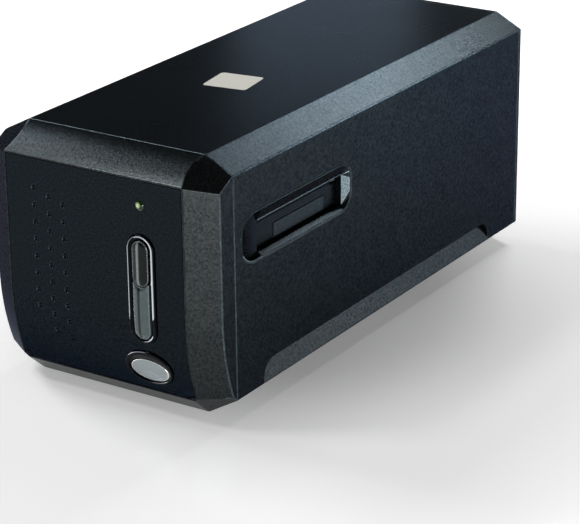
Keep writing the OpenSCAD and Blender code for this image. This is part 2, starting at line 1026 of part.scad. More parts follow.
module chassis() {
    gear_relief = gear_r + 2.5;
    color("#2b2f33")
        difference() {
            union() {
                block([-chassis_x, chassis_front, chassis_z], [chassis_x, chassis_rear, chassis_z + chassis_t]);
                block([-chassis_x, chassis_front, chassis_z], [chassis_x, chassis_front + frame_wall, chassis_top]);
                block([-chassis_x, rear_wall_y, chassis_z], [chassis_x, rear_wall_y + frame_wall, 58]);
                both_sides() {
                    block([chassis_x - chassis_t, chassis_front, chassis_z], [chassis_x, -23, chassis_top]);
                    block([chassis_x - chassis_t, -24, chassis_z], [chassis_x, rear_wall_y + 1, 46]);
                    for (y = gate_screw_ys)
                        translate([gate_screw_x, y, 57])
                            cylinder(h = chassis_top - 57, r = 3.4);
                }
                block([-7, screw_front, chassis_z], [7, screw_front + 6, screw_z + bearing_r + 1.4]);
            }
            both_sides() {
                rod(rod_x, rod_z, rod_front, rear_wall_y + 2, rod_r + 0.01);
                for (y = chassis_screw_ys)
                    translate([chassis_screw_x, y, chassis_z - 1])
                        cylinder(h = 8, r = 1.75);
                for (y = gate_screw_ys)
                    translate([gate_screw_x, y, 60])
                        cylinder(h = 20, r = 1.25 + snug);
            }
            rod(0, screw_z, screw_front - 1, screw_front + 7, bearing_r);
            rod(0, screw_z, rear_wall_y - 1, rear_wall_y + frame_wall + 1, bearing_r);
            both_sides()
                translate([motor_ear_x, motor_y + 8, chassis_z - 1])
                    cylinder(h = 6, r = 1.4 + snug);
            block([-gear_relief, gear_y - 1.2, chassis_z - 1], [gear_relief, gear_y + gear_w + 1.2, chassis_z + 4]);
            block([-25, 39, chassis_z - 1], [-9, 45, chassis_z + 4]);
            block([-18, -45, chassis_z - 1], [18, 25, chassis_z + 4]);
        }
}

gate_y0 = slot_y - slot_len / 2;
gate_y1 = slot_y + slot_len / 2;

module film_gate() {
    color("#1c1f22")
        difference() {
            union() {
                across(-gate_x, gate_x)
                    translate([gate_y0 - gate_rail_t, chassis_top])
                        square([slot_len + 2 * gate_rail_t, gate_floor_z - chassis_top]);
                for (edge = [gate_y0 - gate_rail_t, gate_y1])
                    block([-gate_x + 2, edge, chassis_top], [gate_x - 2, edge + gate_rail_t, gate_rail_top]);
                block([-gate_lip_x, gate_y0 - gate_rail_t, gate_rail_top - 0.01],
                      [gate_lip_x, gate_y0 + gate_lip_in, gate_rail_top + 1.8]);
                block([-gate_lip_x, gate_y1 - gate_lip_in, gate_rail_top - 0.01],
                      [gate_lip_x, gate_y1 + gate_rail_t, gate_rail_top + 1.8]);
            }
            block([-window_x, slot_y - window_y, chassis_top - 1], [window_x, slot_y + window_y, gate_floor_z + 1]);
            both_sides() {
                along(gate_y0, gate_y1)
                    polygon([[gate_flat_x, gate_floor_z], [gate_x + 1, gate_floor_z - 2.4],
                             [gate_x + 1, gate_floor_z + 1], [gate_flat_x, gate_floor_z + 1]]);
                for (y = gate_screw_ys)
                    translate([gate_screw_x, y, chassis_top - 1]) {
                        cylinder(h = 8, r = 1.45);
                        translate([0, 0, 2.2])
                            cylinder(h = 8, r = 2.6);
                    }
            }
            block([-16.5, gate_y1 - 1, gate_floor_z + 1.5], [16.5, gate_y1 + 1.7, gate_rail_top - 1.5]);
        }
}

// Leaf spring whose bump clicks into the notches of a film holder
module film_detent() {
    leaf_z0 = gate_floor_z + 2.5;
    leaf_z1 = gate_rail_top - 2.5;
    color("silver")
        intersection() {
            union() {
                block([-16, gate_y1 + 1.3, leaf_z0], [16, gate_y1 + 1.7, leaf_z1]);
                translate([0, gate_y1 + 1.3, leaf_z0])
                    cylinder(h = leaf_z1 - leaf_z0, r = 2.1);
            }
            block([-17, gate_y1 - 2, leaf_z0], [17, gate_y1 + 1.7, leaf_z1]);
        }
}

// ---- Carriage -------------------------------------------------------------------

module guide_rods() {
    color("silver")
        both_sides()
            rod(rod_x, rod_z, rod_front, rod_rear, rod_r);
}

module carriage_frame() {
    color("#33373b")
        difference() {
            union() {
                difference() {
                    block([-sled_x, sled_front, sled_floor], [sled_x, sled_rear, sled_top]);
                    block([-sled_x + sled_wall, sled_front + sled_wall, sled_floor + sled_wall],
                          [sled_x - sled_wall, sled_rear - sled_wall, sled_top + 1]);
                }
                both_sides()
                    for (y = block_ys)
                        block([sled_x - 1, y, rod_z - bush_r - 1.2],
                              [block_x, y + block_len, rod_z + bush_r + 1.5]);
                block([24.4, sled_rear - 6, 32], [25.6, sled_rear + 10, sled_floor + 1]);
                block([24.4, sled_rear - 1, 32], [25.6, sled_rear + 10, sled_floor + 3]);
            }
            both_sides()
                for (y = block_ys)
                    rod(rod_x, rod_z, y - 1, y + block_len + 1, bush_r);
            block([-15, sled_rear - 5, optic_z - 2], [-3, sled_rear + 1, optic_z + 4]);
        }
}

module carriage_lid() {
    color("#202326")
        difference() {
            block([-sled_x, sled_front, sled_top], [sled_x, sled_rear, sled_top + 1.5]);
            block([-20, scan_line_y - 2.7, sled_top - 1], [20, scan_line_y + 2.7, sled_top + 3]);
        }
}

module rod_bushes() {
    color("#b08d57")
        both_sides()
            for (y = block_ys)
                difference() {
                    rod(rod_x, rod_z, y, y + block_len, bush_r);
                    rod(rod_x, rod_z, y - 1, y + block_len + 1, rod_r + fit);
                }
}

module lead_nut() {
    color("#b08d57")
        difference() {
            block([-8, nut_y, screw_z - 5], [8, nut_y + 12, sled_floor]);
            rod(0, screw_z, nut_y - 1, nut_y + 13, screw_r + fit);
        }
}

module scan_mirror() {
    mirror_t = 2;
    color("#dfe6ea")
        translate([0, scan_line_y, optic_z])
            rotate([-45, 0, 0])
                translate([-22, -8.5, -mirror_t / 2])
                    cube([44, 17, mirror_t]);
}

module mirror_wedge() {
    back = scan_line_y + optic_z - sqrt(2);      // y + z on the face behind the mirror
    low = sled_floor + sled_wall;
    top = sled_top - 0.5;
    front = sled_front + sled_wall;
    color("#1c1f22")
        across(-22, 22)
            polygon([[front, low], [back - low, low], [back - top, top], [front, top]]);
}

module lens_barrel() {
    color("#17191b")
        difference() {
            union() {
                rod(0, optic_z, lens_y - 13, lens_y + 13, lens_r - 1);
                rod(0, optic_z, lens_y - 7, lens_y + 7, lens_r);
            }
            rod(0, optic_z, lens_y - 14, lens_y - 8, 6);
            rod(0, optic_z, lens_y + 8, lens_y + 14, 6);
            rod(0, optic_z, lens_y - 14, lens_y + 14, 4.5);
        }
}

module lens_glass() {
    curve = 14;
    thick = 3.5;
    color("lightblue")
        for (side = [-1, 1])
            intersection() {
                rod(0, optic_z, lens_y - 12, lens_y + 12, 6);
                translate([0, lens_y + side * (8 + thick - curve), optic_z])
                    sphere(r = curve, $fn = 96);
                block([-10, lens_y + (side > 0 ? 8 : -8 - thick), optic_z - 10],
                      [10, lens_y + (side > 0 ? 8 + thick : -8), optic_z + 10]);
            }
}

module lens_clamp() {
    color("#3a3f44")
        difference() {
            union() {
                block([-12, lens_y - 5, sled_floor + sled_wall], [12, lens_y + 5, optic_z]);
                rod(0, optic_z, lens_y - 5, lens_y + 5, lens_r + 0.9);
            }
            rod(0, optic_z, lens_y - 6, lens_y + 6, lens_r + 0.01);
        }
}

module sensor_board() {
    color("darkgreen")
        block([-25, sensor_y, sled_floor + sled_wall], [25, sensor_y + 1.6, sled_top - 1]);
}

module line_sensor() {
    color("#3b3b40")
        difference() {
            block([-18, sensor_y - 3.4, optic_z - 5], [18, sensor_y, optic_z + 5]);
            block([-15, sensor_y - 4, optic_z - 1.5], [15, sensor_y - 1.8, optic_z + 1.5]);
        }
}

module lamp_arm() {
    arm_t = 2;
    arm_x = 22;
    tip = scan_line_y - 6;
    color("#c9ccd0")
        union() {
            block([-arm_x, arm_y, sled_top + 1.5], [arm_x, arm_y + 16, sled_top + 1.5 + arm_t]);
            block([-arm_x, arm_y, sled_top + 1.5], [arm_x, arm_y + arm_t, arm_z + arm_t]);
            block([-arm_x, tip, arm_z], [arm_x, arm_y + arm_t, arm_z + arm_t]);
            both_sides()
                across(arm_x - arm_t, arm_x)
                    polygon([[arm_y + arm_t, sled_top + 2], [arm_y + 14, sled_top + 2],
                             [arm_y + arm_t, arm_z - 4]]);
        }
}

module lamp_housing() {
    color("#24272a")
        difference() {
            block([-24, scan_line_y - 7, 88], [24, scan_line_y + 7, arm_z]);
            block([-22.8, scan_line_y - 5.8, 87], [22.8, scan_line_y + 5.8, arm_z - 1.2]);
        }
}

module lamp_board() {
    leds = 7;
    led_pitch = 6;
    color("white")
        union() {
            block([-22, scan_line_y - 4, arm_z - 2.6], [22, scan_line_y + 4, arm_z - 1.2]);
            for (i = [0 : leds - 1])
                translate([(i - (leds - 1) / 2) * led_pitch - 1.4, scan_line_y - 1.4, arm_z - 3.5])
                    cube([2.8, 2.8, 1]);
        }
}

module lamp_diffuser() {
    color("ghostwhite")
        block([-22.7, scan_line_y - 5.7, 88.4], [22.7, scan_line_y + 5.7, 89.9]);
}

// ---- Drive ------------------------------------------------------------------------

// Involute outline of a spur gear with a tooth on the +X side
function involute(base_r, a) =
    [base_r * (cos(a) + a * PI / 180 * sin(a)), base_r * (sin(a) - a * PI / 180 * cos(a))];
function turned(p, a) = [p[0] * cos(a) - p[1] * sin(a), p[0] * sin(a) + p[1] * cos(a)];
function flipped(p) = [p[0], -p[1]];

module gear_outline(teeth, backlash) {
    pitch_r = gear_m * teeth / 2;
    base_r = pitch_r * cos(20);
    tip_r = pitch_r + 0.9 * gear_m;
    root_r = pitch_r - 1.25 * gear_m;
    tip_a = sqrt(pow(tip_r / base_r, 2) - 1) * 180 / PI;
    pitch_a = sqrt(pow(pitch_r / base_r, 2) - 1) * 180 / PI;
    start_a = root_r > base_r ? sqrt(pow(root_r / base_r, 2) - 1) * 180 / PI : 0;
    lean = pitch_a - atan(pitch_a * PI / 180);
    half = 90 / teeth - backlash / 2 / pitch_r * 180 / PI + lean;
    steps = 5;
    flank = [for (i = [0 : steps]) turned(involute(base_r, start_a + (tip_a - start_a) * i / steps), -half)];
    foot = turned([root_r, 0], -half);
    tooth = concat([foot], flank, [for (i = [0 : steps]) flipped(flank[steps - i])], [flipped(foot)]);
    polygon([for (t = [0 : teeth - 1], p = tooth) turned(p, t * 360 / teeth)]);
}

module lead_screw() {
    color("silver")
        rod(0, screw_z, screw_front, screw_rear, screw_r);
}

module screw_bearings() {
    color("#b08d57")
        for (span = [[screw_front, screw_front + 6], [rear_wall_y, rear_wall_y + frame_wall]])
            difference() {
                rod(0, screw_z, span[0], span[1], bearing_r - 0.01);
                rod(0, screw_z, span[0] - 1, span[1] + 1, screw_r + fit);
            }
}

module drive_gear() {
    color("ivory")
        translate([0, 0, screw_z])
            difference() {
                union() {
                    along(gear_y, gear_y + gear_w)
                        rotate(90)
                            gear_outline(gear_teeth, 0.12);
                    rod(0, 0, gear_y - 1.5, gear_y + gear_w + 1, 4.5);
                }
                rod(0, 0, gear_y - 2, gear_y + gear_w + 2, screw_r);
            }
}

module motor_pinion() {
    half_tooth = 180 / pinion_teeth;
    color("#b08d57")
        translate([0, 0, motor_z])
            union() {
                along(gear_y - 0.5, gear_y + gear_w + 1)
                    rotate(-90 + half_tooth)
                        gear_outline(pinion_teeth, 0.12);
                rod(0, 0, gear_y - 1.5, motor_y + motor_len - 3, shaft_r);
            }
}

module stepper_motor() {
    color("#9aa0a5")
        difference() {
            union() {
                rod(0, motor_z, motor_y, motor_y + motor_len, motor_r);
                rod(0, motor_z, motor_y - 1.5, motor_y + 1, 4.9);
                block([-18.4, motor_y, motor_z - 3.5], [18.4, motor_y + 1, motor_z + 3.5]);
            }
            rod(0, motor_z, motor_y - 2, motor_y + motor_len - 2, shaft_r + fit);
            both_sides()
                rod(motor_ear_x, motor_z, motor_y - 1, motor_y + 2, 1.6);
        }
}

module motor_bracket() {
    foot_z = chassis_z + chassis_t;
    color("#c9ccd0")
        difference() {
            union() {
                block([-20, motor_y - bracket_t, foot_z], [20, motor_y, motor_z + 9]);
                block([-20, motor_y - bracket_t, foot_z], [20, motor_y + 14, foot_z + bracket_t]);
            }
            rod(0, motor_z, motor_y - 3, motor_y + 1, 5);
            both_sides() {
                rod(motor_ear_x, motor_z, motor_y - 3, motor_y + 1, 1.4 + snug);
                translate([motor_ear_x, motor_y + 8, foot_z - 1])
                    cylinder(h = 5, r = 1.6);
            }
        }
}

module motor_screws() {
    head = 1.4 * screw_head;
    color("silver")
        both_sides() {
            translate([motor_ear_x, motor_y + 1 + head, motor_z])
                rotate([-90, 0, 0])
                    screw(1.4, head + 4);
            translate([motor_ear_x, motor_y + 8, chassis_z + chassis_t + bracket_t + head])
                screw(1.4, head + 4);
        }
}

// Light barrier that the carriage's flag enters at the end of its travel
module home_sensor() {
    flag_x = 25;
    color("#1b1b1d")
        difference() {
            block([flag_x - 4, sled_rear + 3, chassis_z + chassis_t], [flag_x + 4, sled_rear + 9, 38]);
            block([flag_x - 1.2, sled_rear + 2, 30], [flag_x + 1.2, sled_rear + 10, 39]);
        }
}

// ---- Electronics --------------------------------------------------------------------

module main_board() {
    color("darkgreen")
        difference() {
            block([-33, 21, pcb_z], [33, rear_seam_y - 1.5, pcb_z + pcb_t]);
            for (y = board_post_ys)
                both_sides()
                    translate([board_post_x, y, pcb_z - 1])
                        cylinder(h = 4, r = 1.4);
        }
}

module board_parts() {
    top = pcb_z + pcb_t;
    color("#3c4043")
        union() {
            block([-12, 61, top], [12, 85, top + 1.4]);
            block([-26, 67, top], [-16, 85, top + 1.1]);
            block([-25, 39, top], [-9, 45, top + 3]);
            block([14, 25, top], [26, 30, top + 4]);
            for (x = [16, 24])
                translate([x, 101, top])
                    cylinder(h = 9, r = 3);
        }
    color("silver")
        difference() {
            block([usb_x - 6, 118, top], [usb_x + 6, rear_seam_y - 0.2, top + 11]);
            block([usb_x - 4.3, 123.5, top + 1.6], [usb_x + 4.3, rear_seam_y + 1, top + 9.4]);
        }
    color("white")
        block([usb_x - 2.8, 123.4, top + 3.9], [usb_x + 2.8, rear_seam_y - 3.5, top + 7.1]);
    color("#1b1b1d")
        difference() {
            block([jack_x - 4.5, 120, top], [jack_x + 4.5, rear_seam_y - 0.2, top + 11]);
            rod(jack_x, jack_z, 123, rear_seam_y + 1, 3.2);
        }
    color("silver")
        rod(jack_x, jack_z, 122.9, rear_seam_y - 3.5, 1);
}

// ---- Assembly -----------------------------------------------------------------------

lower_housing();
top_cover();
front_bezel();
front_panel();
rear_panel();
slot_trim_right();
slot_trim_left();
dust_door_right();
dust_door_left();
door_pins();
door_spring_right();
door_spring_left();
scan_button_ring();
upper_scan_button();
lower_scan_button();
power_button_ring();
power_button();
light_pipe();
status_led();
top_label();
rubber_feet();
cover_screws();
case_screws();
small_screws();
button_board();
button_board_screws();
switch_bodies();
upper_switch_plunger();
lower_switch_plunger();
power_switch_plunger();
chassis();
film_gate();
film_detent();
guide_rods();
carriage_frame();
carriage_lid();
rod_bushes();
lead_nut();
scan_mirror();
mirror_wedge();
lens_barrel();
lens_glass();
lens_clamp();
sensor_board();
line_sensor();
lamp_arm();
lamp_housing();
lamp_board();
lamp_diffuser();
lead_screw();
screw_bearings();
drive_gear();
motor_pinion();
stepper_motor();
motor_bracket();
motor_screws();
home_sensor();
main_board();
board_parts();
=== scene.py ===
"""Dresses the film scanner: finer visible pieces, finishes, stage, lamps and camera."""
import json
import math

import bmesh
import bpy
from bpy.props import FloatProperty, FloatVectorProperty, PointerProperty
from mathutils import Matrix, Vector


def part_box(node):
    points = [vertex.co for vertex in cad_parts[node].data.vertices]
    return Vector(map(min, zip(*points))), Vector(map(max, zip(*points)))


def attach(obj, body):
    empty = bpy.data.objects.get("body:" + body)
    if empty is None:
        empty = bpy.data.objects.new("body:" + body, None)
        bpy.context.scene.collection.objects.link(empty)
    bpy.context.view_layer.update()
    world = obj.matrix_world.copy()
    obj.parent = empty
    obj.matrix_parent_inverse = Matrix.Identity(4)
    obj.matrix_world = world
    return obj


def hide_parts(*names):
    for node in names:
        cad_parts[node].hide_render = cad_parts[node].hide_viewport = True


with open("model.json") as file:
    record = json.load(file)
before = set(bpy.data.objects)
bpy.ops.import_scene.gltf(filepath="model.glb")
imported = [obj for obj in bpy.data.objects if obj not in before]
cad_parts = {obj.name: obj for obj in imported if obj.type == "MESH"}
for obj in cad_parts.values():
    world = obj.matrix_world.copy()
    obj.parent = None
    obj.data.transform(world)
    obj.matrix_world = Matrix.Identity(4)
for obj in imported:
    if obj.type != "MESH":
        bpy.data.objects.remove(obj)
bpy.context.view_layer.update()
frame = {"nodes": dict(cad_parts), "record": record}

bl_info = {
    "name": "Film scanner",
    "version": (1, 0, 0),
    "blender": (4, 5, 0),
    "location": "3D Viewport > Sidebar > Film scanner",
    "description": "Builds the visible pieces, finishes and stage of a desktop film scanner",
    "category": "Object",
}

MM = 0.001
NODES = frame["nodes"]

# Front surface, as in the solids: flat above CURVE_Z, an arc about X below it
FRONT_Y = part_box("front_panel")[0].y
CURVE_R = 110 * MM
CURVE_Z = 50 * MM
PANEL_BACK = 2.6 * MM  # depth of the panel's back, where the flanges begin
FLANGE_BACK = 3.6 * MM

# Casing
SIDE_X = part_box("lower_housing")[1].x
TOP_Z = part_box("top_cover")[1].z
BASE_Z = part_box("lower_housing")[0].z
TOP_SLOPE = (13.8 * MM, 7.2 * MM)        # across and down
BASE_SLOPE = (15 * MM, 8.9 * MM)         # across and up
FACET_CROWN = 0.85 * MM                  # swell of the bezel's top facet
MIDDLE = Vector((0, -40 * MM, 60 * MM))  # tells the bezel's outer faces from its inner ones

# Film slot
LIP_Z = 86.2 * MM           # top of the worn lip over the opening
LONG_FACE = 200 * MM * MM   # least area of the frame's long slopes
END_FACE = 30 * MM * MM     # least area of its ends
DOOR_FIELD = 150 * MM * MM  # least area of a door's raised field

# Scan buttons. The bore lies a little lower than the ring round it.
SCAN_X = 24.65 * MM
RING_OUTER_R = 7.15 * MM
RING_OUTER_LOW = 42.65 * MM  # centres of the ring's outer round ends
RING_OUTER_HIGH = 78.05 * MM
RING_INNER_R = 4.4 * MM
RING_INNER_LOW = 41.7 * MM   # centres of its inner ones
RING_INNER_HIGH = 78.25 * MM
RING_FLANGE = 1.3 * MM
RING_PROUD = 0.9 * MM
CAP_R = 4.1 * MM
CAP_PROUD = 2.0 * MM
CAP_SAG = 0.8 * MM           # fall of the domed face from its middle to its edge
CAP_EDGE = 0.4 * MM
CAP_WALL = 1.5 * MM          # depth of a ring of points in the cap's straight wall
CAP_BACK = 4.7 * MM
UPPER_CAP_LOW = 66.0 * MM    # centres of the upper cap's round ends
UPPER_CAP_HIGH = 78.25 * MM
LOWER_CAP_LOW = 41.7 * MM    # centre of the lower cap's round end
LOWER_CAP_SPINE = 57.0 * MM
CAP_SPLIT = 0.4 * MM
HORN_Z = 63.3 * MM           # the lower cap's two upper corners
# The upright band in both caps is a painted reflection streak.
REFLECTION_STREAK_X = SCAN_X - 0.8 * MM   # upright band that shows in both caps
REFLECTION_STREAK_W = 1.1 * MM

# Power button
POWER_X = 24.7 * MM
POWER_RING_Z = 23.2 * MM
POWER_RING_SIZE = (12.35 * MM, 8.3 * MM)
POWER_RING_SPUN = (10 * MM, 12 * MM)  # radii of the ring before it is drawn out to an oval
POWER_FLANGE = 1.1 * MM
POWER_CAP_Z = 21.8 * MM
POWER_CAP_SIZE = (10.0 * MM, 5.3 * MM)
POWER_GAP = 0.3 * MM
POWER_PROUD = 0.7 * MM
POWER_SAG = 0.35 * MM

# Indicator
LIGHT_X = 24.7 * MM
LIGHT_Z = 97.7 * MM
LIGHT_R = 2.2 * MM
LIGHT_PROUD = 0.8 * MM
LIGHT_FLANGE = 1.2 * MM
GLINT_OFF = (-0.5 * MM, 0.3 * MM)  # painted highlight, up and to the left of the lens's middle

# Sticker
LABEL_SIZE = (21.5 * MM, 20.5 * MM)
LABEL_CORNER = 1.6 * MM
LABEL_TURN = 8  # degrees

WELD = 0.002 * MM  # points nearer than this are one, in a CAD mesh
SEAM = 0.004 * MM  # and in a spun shape

# Real sizes of the patterns in the finishes, in millimetres
CLOUD_MM = 40    # slow changes of tone over a moulded part
SMOKE_MM = 4     # streaks in smoked acrylic
BLAST_MM = 0.35  # blasted grain under satin chrome
RIPPLE_MM = 9    # waves in polished black plastic
PORE_MM = 0.4    # pores of sintered bronze
TRACK_MM = 9     # groups of tracks on a circuit board
FACET_MM = 1.6   # facets moulded in the indicator
TINT_MM = 5      # clouds in the coating of a lens
SILVER_MM = 12   # clouds in the coating of a mirror
FIBRE_MM = 0.6   # fibres of the sticker's paper
SHEET_MM = 250   # changes of polish in the floor's acrylic sheet


# ---- Finishes ----

def linear(code):
    """An sRGB hex colour as linear RGBA."""
    parts = [int(code[i:i + 2], 16) / 255 for i in (1, 3, 5)]
    return tuple(p / 12.92 if p <= 0.04045 else ((p + 0.055) / 1.055) ** 2.4
                 for p in parts) + (1.0,)


def shade(colour, factor=1):
    """A colour made that much lighter or darker, as linear RGBA."""
    return tuple(min(1.0, c * factor) for c in colour[:3]) + (1.0,)


def add(tree, kind, values=None, links=None, **settings):
    """Adds a node, sets its properties and socket values, and links its inputs.

    A link comes from an output, or from another node by its first live one.
    """
    node = tree.nodes.new(kind)
    for key, value in settings.items():
        setattr(node, key, value)
    for key, value in (values or {}).items():
        node.inputs[key].default_value = value
    for key, source in (links or {}).items():
        if isinstance(source, bpy.types.Node):
            source = next(out for out in source.outputs if out.enabled)
        tree.links.new(source, node.inputs[key])
    return node


def finish(name, values, links_from):
    """A material whose shader takes plain values and what links_from(tree, place) returns.

    place is the point in the piece's own coordinates, for patterns of a real size.
    """
    material = bpy.data.materials.new(name)
    material.use_nodes = True
    tree = material.node_tree
    tree.nodes.clear()
    place = add(tree, "ShaderNodeTexCoord").outputs["Object"]
    shader = add(tree, "ShaderNodeBsdfPrincipled", values, links_from(tree, place))
    add(tree, "ShaderNodeOutputMaterial", links={"Surface": shader})
    return material


def varied(tree, pattern, colours, rough, relief=None, height=None):
    """Links for a surface whose colour and roughness follow a pattern, each from low to high.

    relief is the strength and depth in mm of its bumps, which follow height or the pattern.
    """
    links = {
        "Base Color": add(tree, "ShaderNodeMix", {"A": colours[0], "B": colours[1]},
                          {"Factor": pattern}, data_type="RGBA"),
        "Roughness": add(tree, "ShaderNodeMapRange", {"To Min": rough[0], "To Max": rough[1]},
                         {"Value": pattern})}
    if relief:
        links["Normal"] = add(tree, "ShaderNodeBump",
                              {"Strength": relief[0], "Distance": relief[1] * MM},
                              {"Height": height or pattern})
    return links


def paint_edge_highlight(tree, links, rim_colour):
    """Blends a surface's colour to a paler one where the rim attribute says: a painted highlight.
    """
    rim = add(tree, "ShaderNodeAttribute", attribute_name="rim").outputs["Fac"]
    both = add(tree, "ShaderNodeMix", {"B": rim_colour},
               {"Factor": rim, "A": links["Base Color"]}, data_type="RGBA")
    return {**links, "Base Color": both}


def moulded(name, colour, rough, gloss, grain_mm, relief_mm, tone=0.1):
    """Injection-moulded plastic: spark-eroded grain over slow changes of tone and sheen."""
    def links(tree, place):
        grain = add(tree, "ShaderNodeTexNoise",
                    {"Scale": 1000 / grain_mm, "Detail": 2, "Roughness": 0.55}, {"Vector": place})
        cloud = add(tree, "ShaderNodeTexNoise", {"Scale": 1000 / CLOUD_MM, "Detail": 3},
                    {"Vector": place})
        return varied(tree, cloud, (shade(colour, 1 - tone), shade(colour, 1 + tone)),
                      (rough * (1 + tone), rough * (1 - tone)), (1, relief_mm), grain)
    return finish(name, {"IOR": 1.5, "Specular IOR Level": gloss}, links)


def charcoal(name, colour, edge_highlight_colour, glance, rough, grain_mm, relief_mm):
    """Charcoal metallic paint over a spark-eroded grain; glance tints it at a low angle.

    Its flakes glint one by one. The rim attribute says where its rounded edges are
    painted paler as a highlight, and the bare attribute where the spray didn't reach the plastic.
    """
    def links(tree, place):
        grain = add(tree, "ShaderNodeTexNoise",
                    {"Scale": 1000 / grain_mm, "Detail": 2, "Roughness": 0.6}, {"Vector": place})
        flakes = add(tree, "ShaderNodeMapRange",
                     {"From Min": 0.3, "From Max": 0.7, "To Min": 0.6, "To Max": 1.5},
                     {"Value": grain})
        rim = add(tree, "ShaderNodeAttribute", attribute_name="rim").outputs["Fac"]
        highlighted = add(tree, "ShaderNodeMix", {"A": colour, "B": edge_highlight_colour}, {"Factor": rim},
                   data_type="RGBA")
        tones = add(tree, "ShaderNodeVectorMath", links={0: highlighted, "Scale": flakes},
                    operation="SCALE")
        bare = add(tree, "ShaderNodeAttribute", attribute_name="bare").outputs["Fac"]
        metal = add(tree, "ShaderNodeMapRange", {"To Min": 0.85, "To Max": 0}, {"Value": bare})
        cloud = add(tree, "ShaderNodeTexNoise", {"Scale": 1000 / CLOUD_MM, "Detail": 3},
                    {"Vector": place})
        sheen = add(tree, "ShaderNodeMapRange", {"To Min": rough * 1.1, "To Max": rough * 0.9},
                    {"Value": cloud})
        bump = add(tree, "ShaderNodeBump", {"Strength": 1, "Distance": relief_mm * MM},
                   {"Height": grain})
        return {"Base Color": tones, "Metallic": metal, "Roughness": sheen, "Normal": bump}
    return finish(name, {"Specular IOR Level": 0.1, "Specular Tint": glance}, links)


def smoked(name, colour, streak_colour, rim_colour):
    """Clear-coated smoked acrylic: a soft upright band is painted in as a reflection streak, and
    the rounded edge paler as a painted highlight.
    """
    def links(tree, place):
        ripple = add(tree, "ShaderNodeTexNoise", {"Scale": 1000 / SMOKE_MM, "Detail": 2},
                     {"Vector": place})
        smoke = varied(tree, ripple, (shade(colour, 0.8), shade(colour, 1.2)), (0.22, 0.34))
        across = add(tree, "ShaderNodeSeparateXYZ", links={0: place}).outputs["X"]
        off = add(tree, "ShaderNodeMath", {1: REFLECTION_STREAK_X}, {0: across}, operation="SUBTRACT")
        away = add(tree, "ShaderNodeMath", links={0: off}, operation="ABSOLUTE")
        reflection_streak = add(tree, "ShaderNodeMapRange",
                   {"From Min": 0.1 * REFLECTION_STREAK_W, "From Max": REFLECTION_STREAK_W, "To Min": 1.0, "To Max": 0.0},
                   {"Value": away}, interpolation_type="SMOOTHSTEP")
        tones = add(tree, "ShaderNodeMix", {"B": streak_colour},
                    {"Factor": reflection_streak, "A": smoke["Base Color"]}, data_type="RGBA")
        return paint_edge_highlight(tree, {**smoke, "Base Color": tones}, rim_colour)
    return finish(name, {"Metallic": 0.4, "Specular IOR Level": 0.2, "Coat Weight": 0.2,
                         "Coat Roughness": 0.03}, links)


def satin_chrome(name, colour, rim_colour):
    """Satin chrome on plastic, polished smooth at its edge, which is also painted near white as a
    highlight.
    """
    def links(tree, place):
        blast = add(tree, "ShaderNodeTexNoise", {"Scale": 1000 / BLAST_MM, "Detail": 1},
                    {"Vector": place})
        tones = add(tree, "ShaderNodeMix", {"A": shade(colour, 0.9), "B": shade(colour, 1.1)},
                    {"Factor": blast}, data_type="RGBA")
        rim = add(tree, "ShaderNodeAttribute", attribute_name="rim").outputs["Fac"]
        sheen = add(tree, "ShaderNodeMapRange", {"To Min": 0.33, "To Max": 0.12}, {"Value": rim})
        return paint_edge_highlight(tree, {"Base Color": tones, "Roughness": sheen}, rim_colour)
    return finish(name, {"Metallic": 0.8}, links)


def glossy_black(name, colour, tint, rough, gloss):
    """Black plastic from a polished tool, with the slow ripple such gloss shows."""
    def links(tree, place):
        ripple = add(tree, "ShaderNodeTexNoise", {"Scale": 1000 / RIPPLE_MM, "Detail": 1},
                     {"Vector": place})
        return varied(tree, ripple, (shade(colour, 0.8), shade(colour, 1.2)),
                      (rough * 0.7, rough * 1.3), (0.4, 0.05))
    return finish(name, {"IOR": 1.5, "Specular IOR Level": gloss, "Specular Tint": tint}, links)


def drawn_metal(name, colour, rough, line_mm, along):
    """Drawn, ground or plated metal: fine lines, stretched by along."""
    def links(tree, place):
        stretched = add(tree, "ShaderNodeMapping", {"Scale": along}, {"Vector": place})
        lines = add(tree, "ShaderNodeTexNoise", {"Scale": 1000 / line_mm, "Detail": 2},
                    {"Vector": stretched})
        return varied(tree, lines, (shade(colour, 0.84), shade(colour, 1.1)),
                      (rough * 0.75, rough * 1.25), (0.3, 0.02))
    return finish(name, {"Metallic": 1.0}, links)


def sintered(name, colour, rough):
    """Pressed and sintered bronze: pores a fraction of a millimetre wide, dark with oil."""
    def links(tree, place):
        pores = add(tree, "ShaderNodeTexVoronoi", {"Scale": 1000 / PORE_MM}, {"Vector": place},
                    feature="F1")
        return varied(tree, pores, (shade(colour, 0.45), shade(colour, 1.05)),
                      (rough, rough * 0.7))
    return finish(name, {"Metallic": 1.0}, links)


def laminate(name, mask, copper):
    """Circuit board: tracks that stand out a little lighter under the solder mask."""
    def links(tree, place):
        tracks = add(tree, "ShaderNodeTexBrick",
                     {"Scale": 1000 / TRACK_MM, "Mortar Size": 0.03, "Mortar Smooth": 0.1,
                      "Brick Width": 0.7, "Row Height": 0.16, "Color1": mask,
                      "Color2": shade(mask, 0.85), "Mortar": copper}, {"Vector": place})
        return {"Base Color": tracks}
    return finish(name, {"Roughness": 0.45, "Coat Weight": 0.3, "Coat Roughness": 0.15}, links)


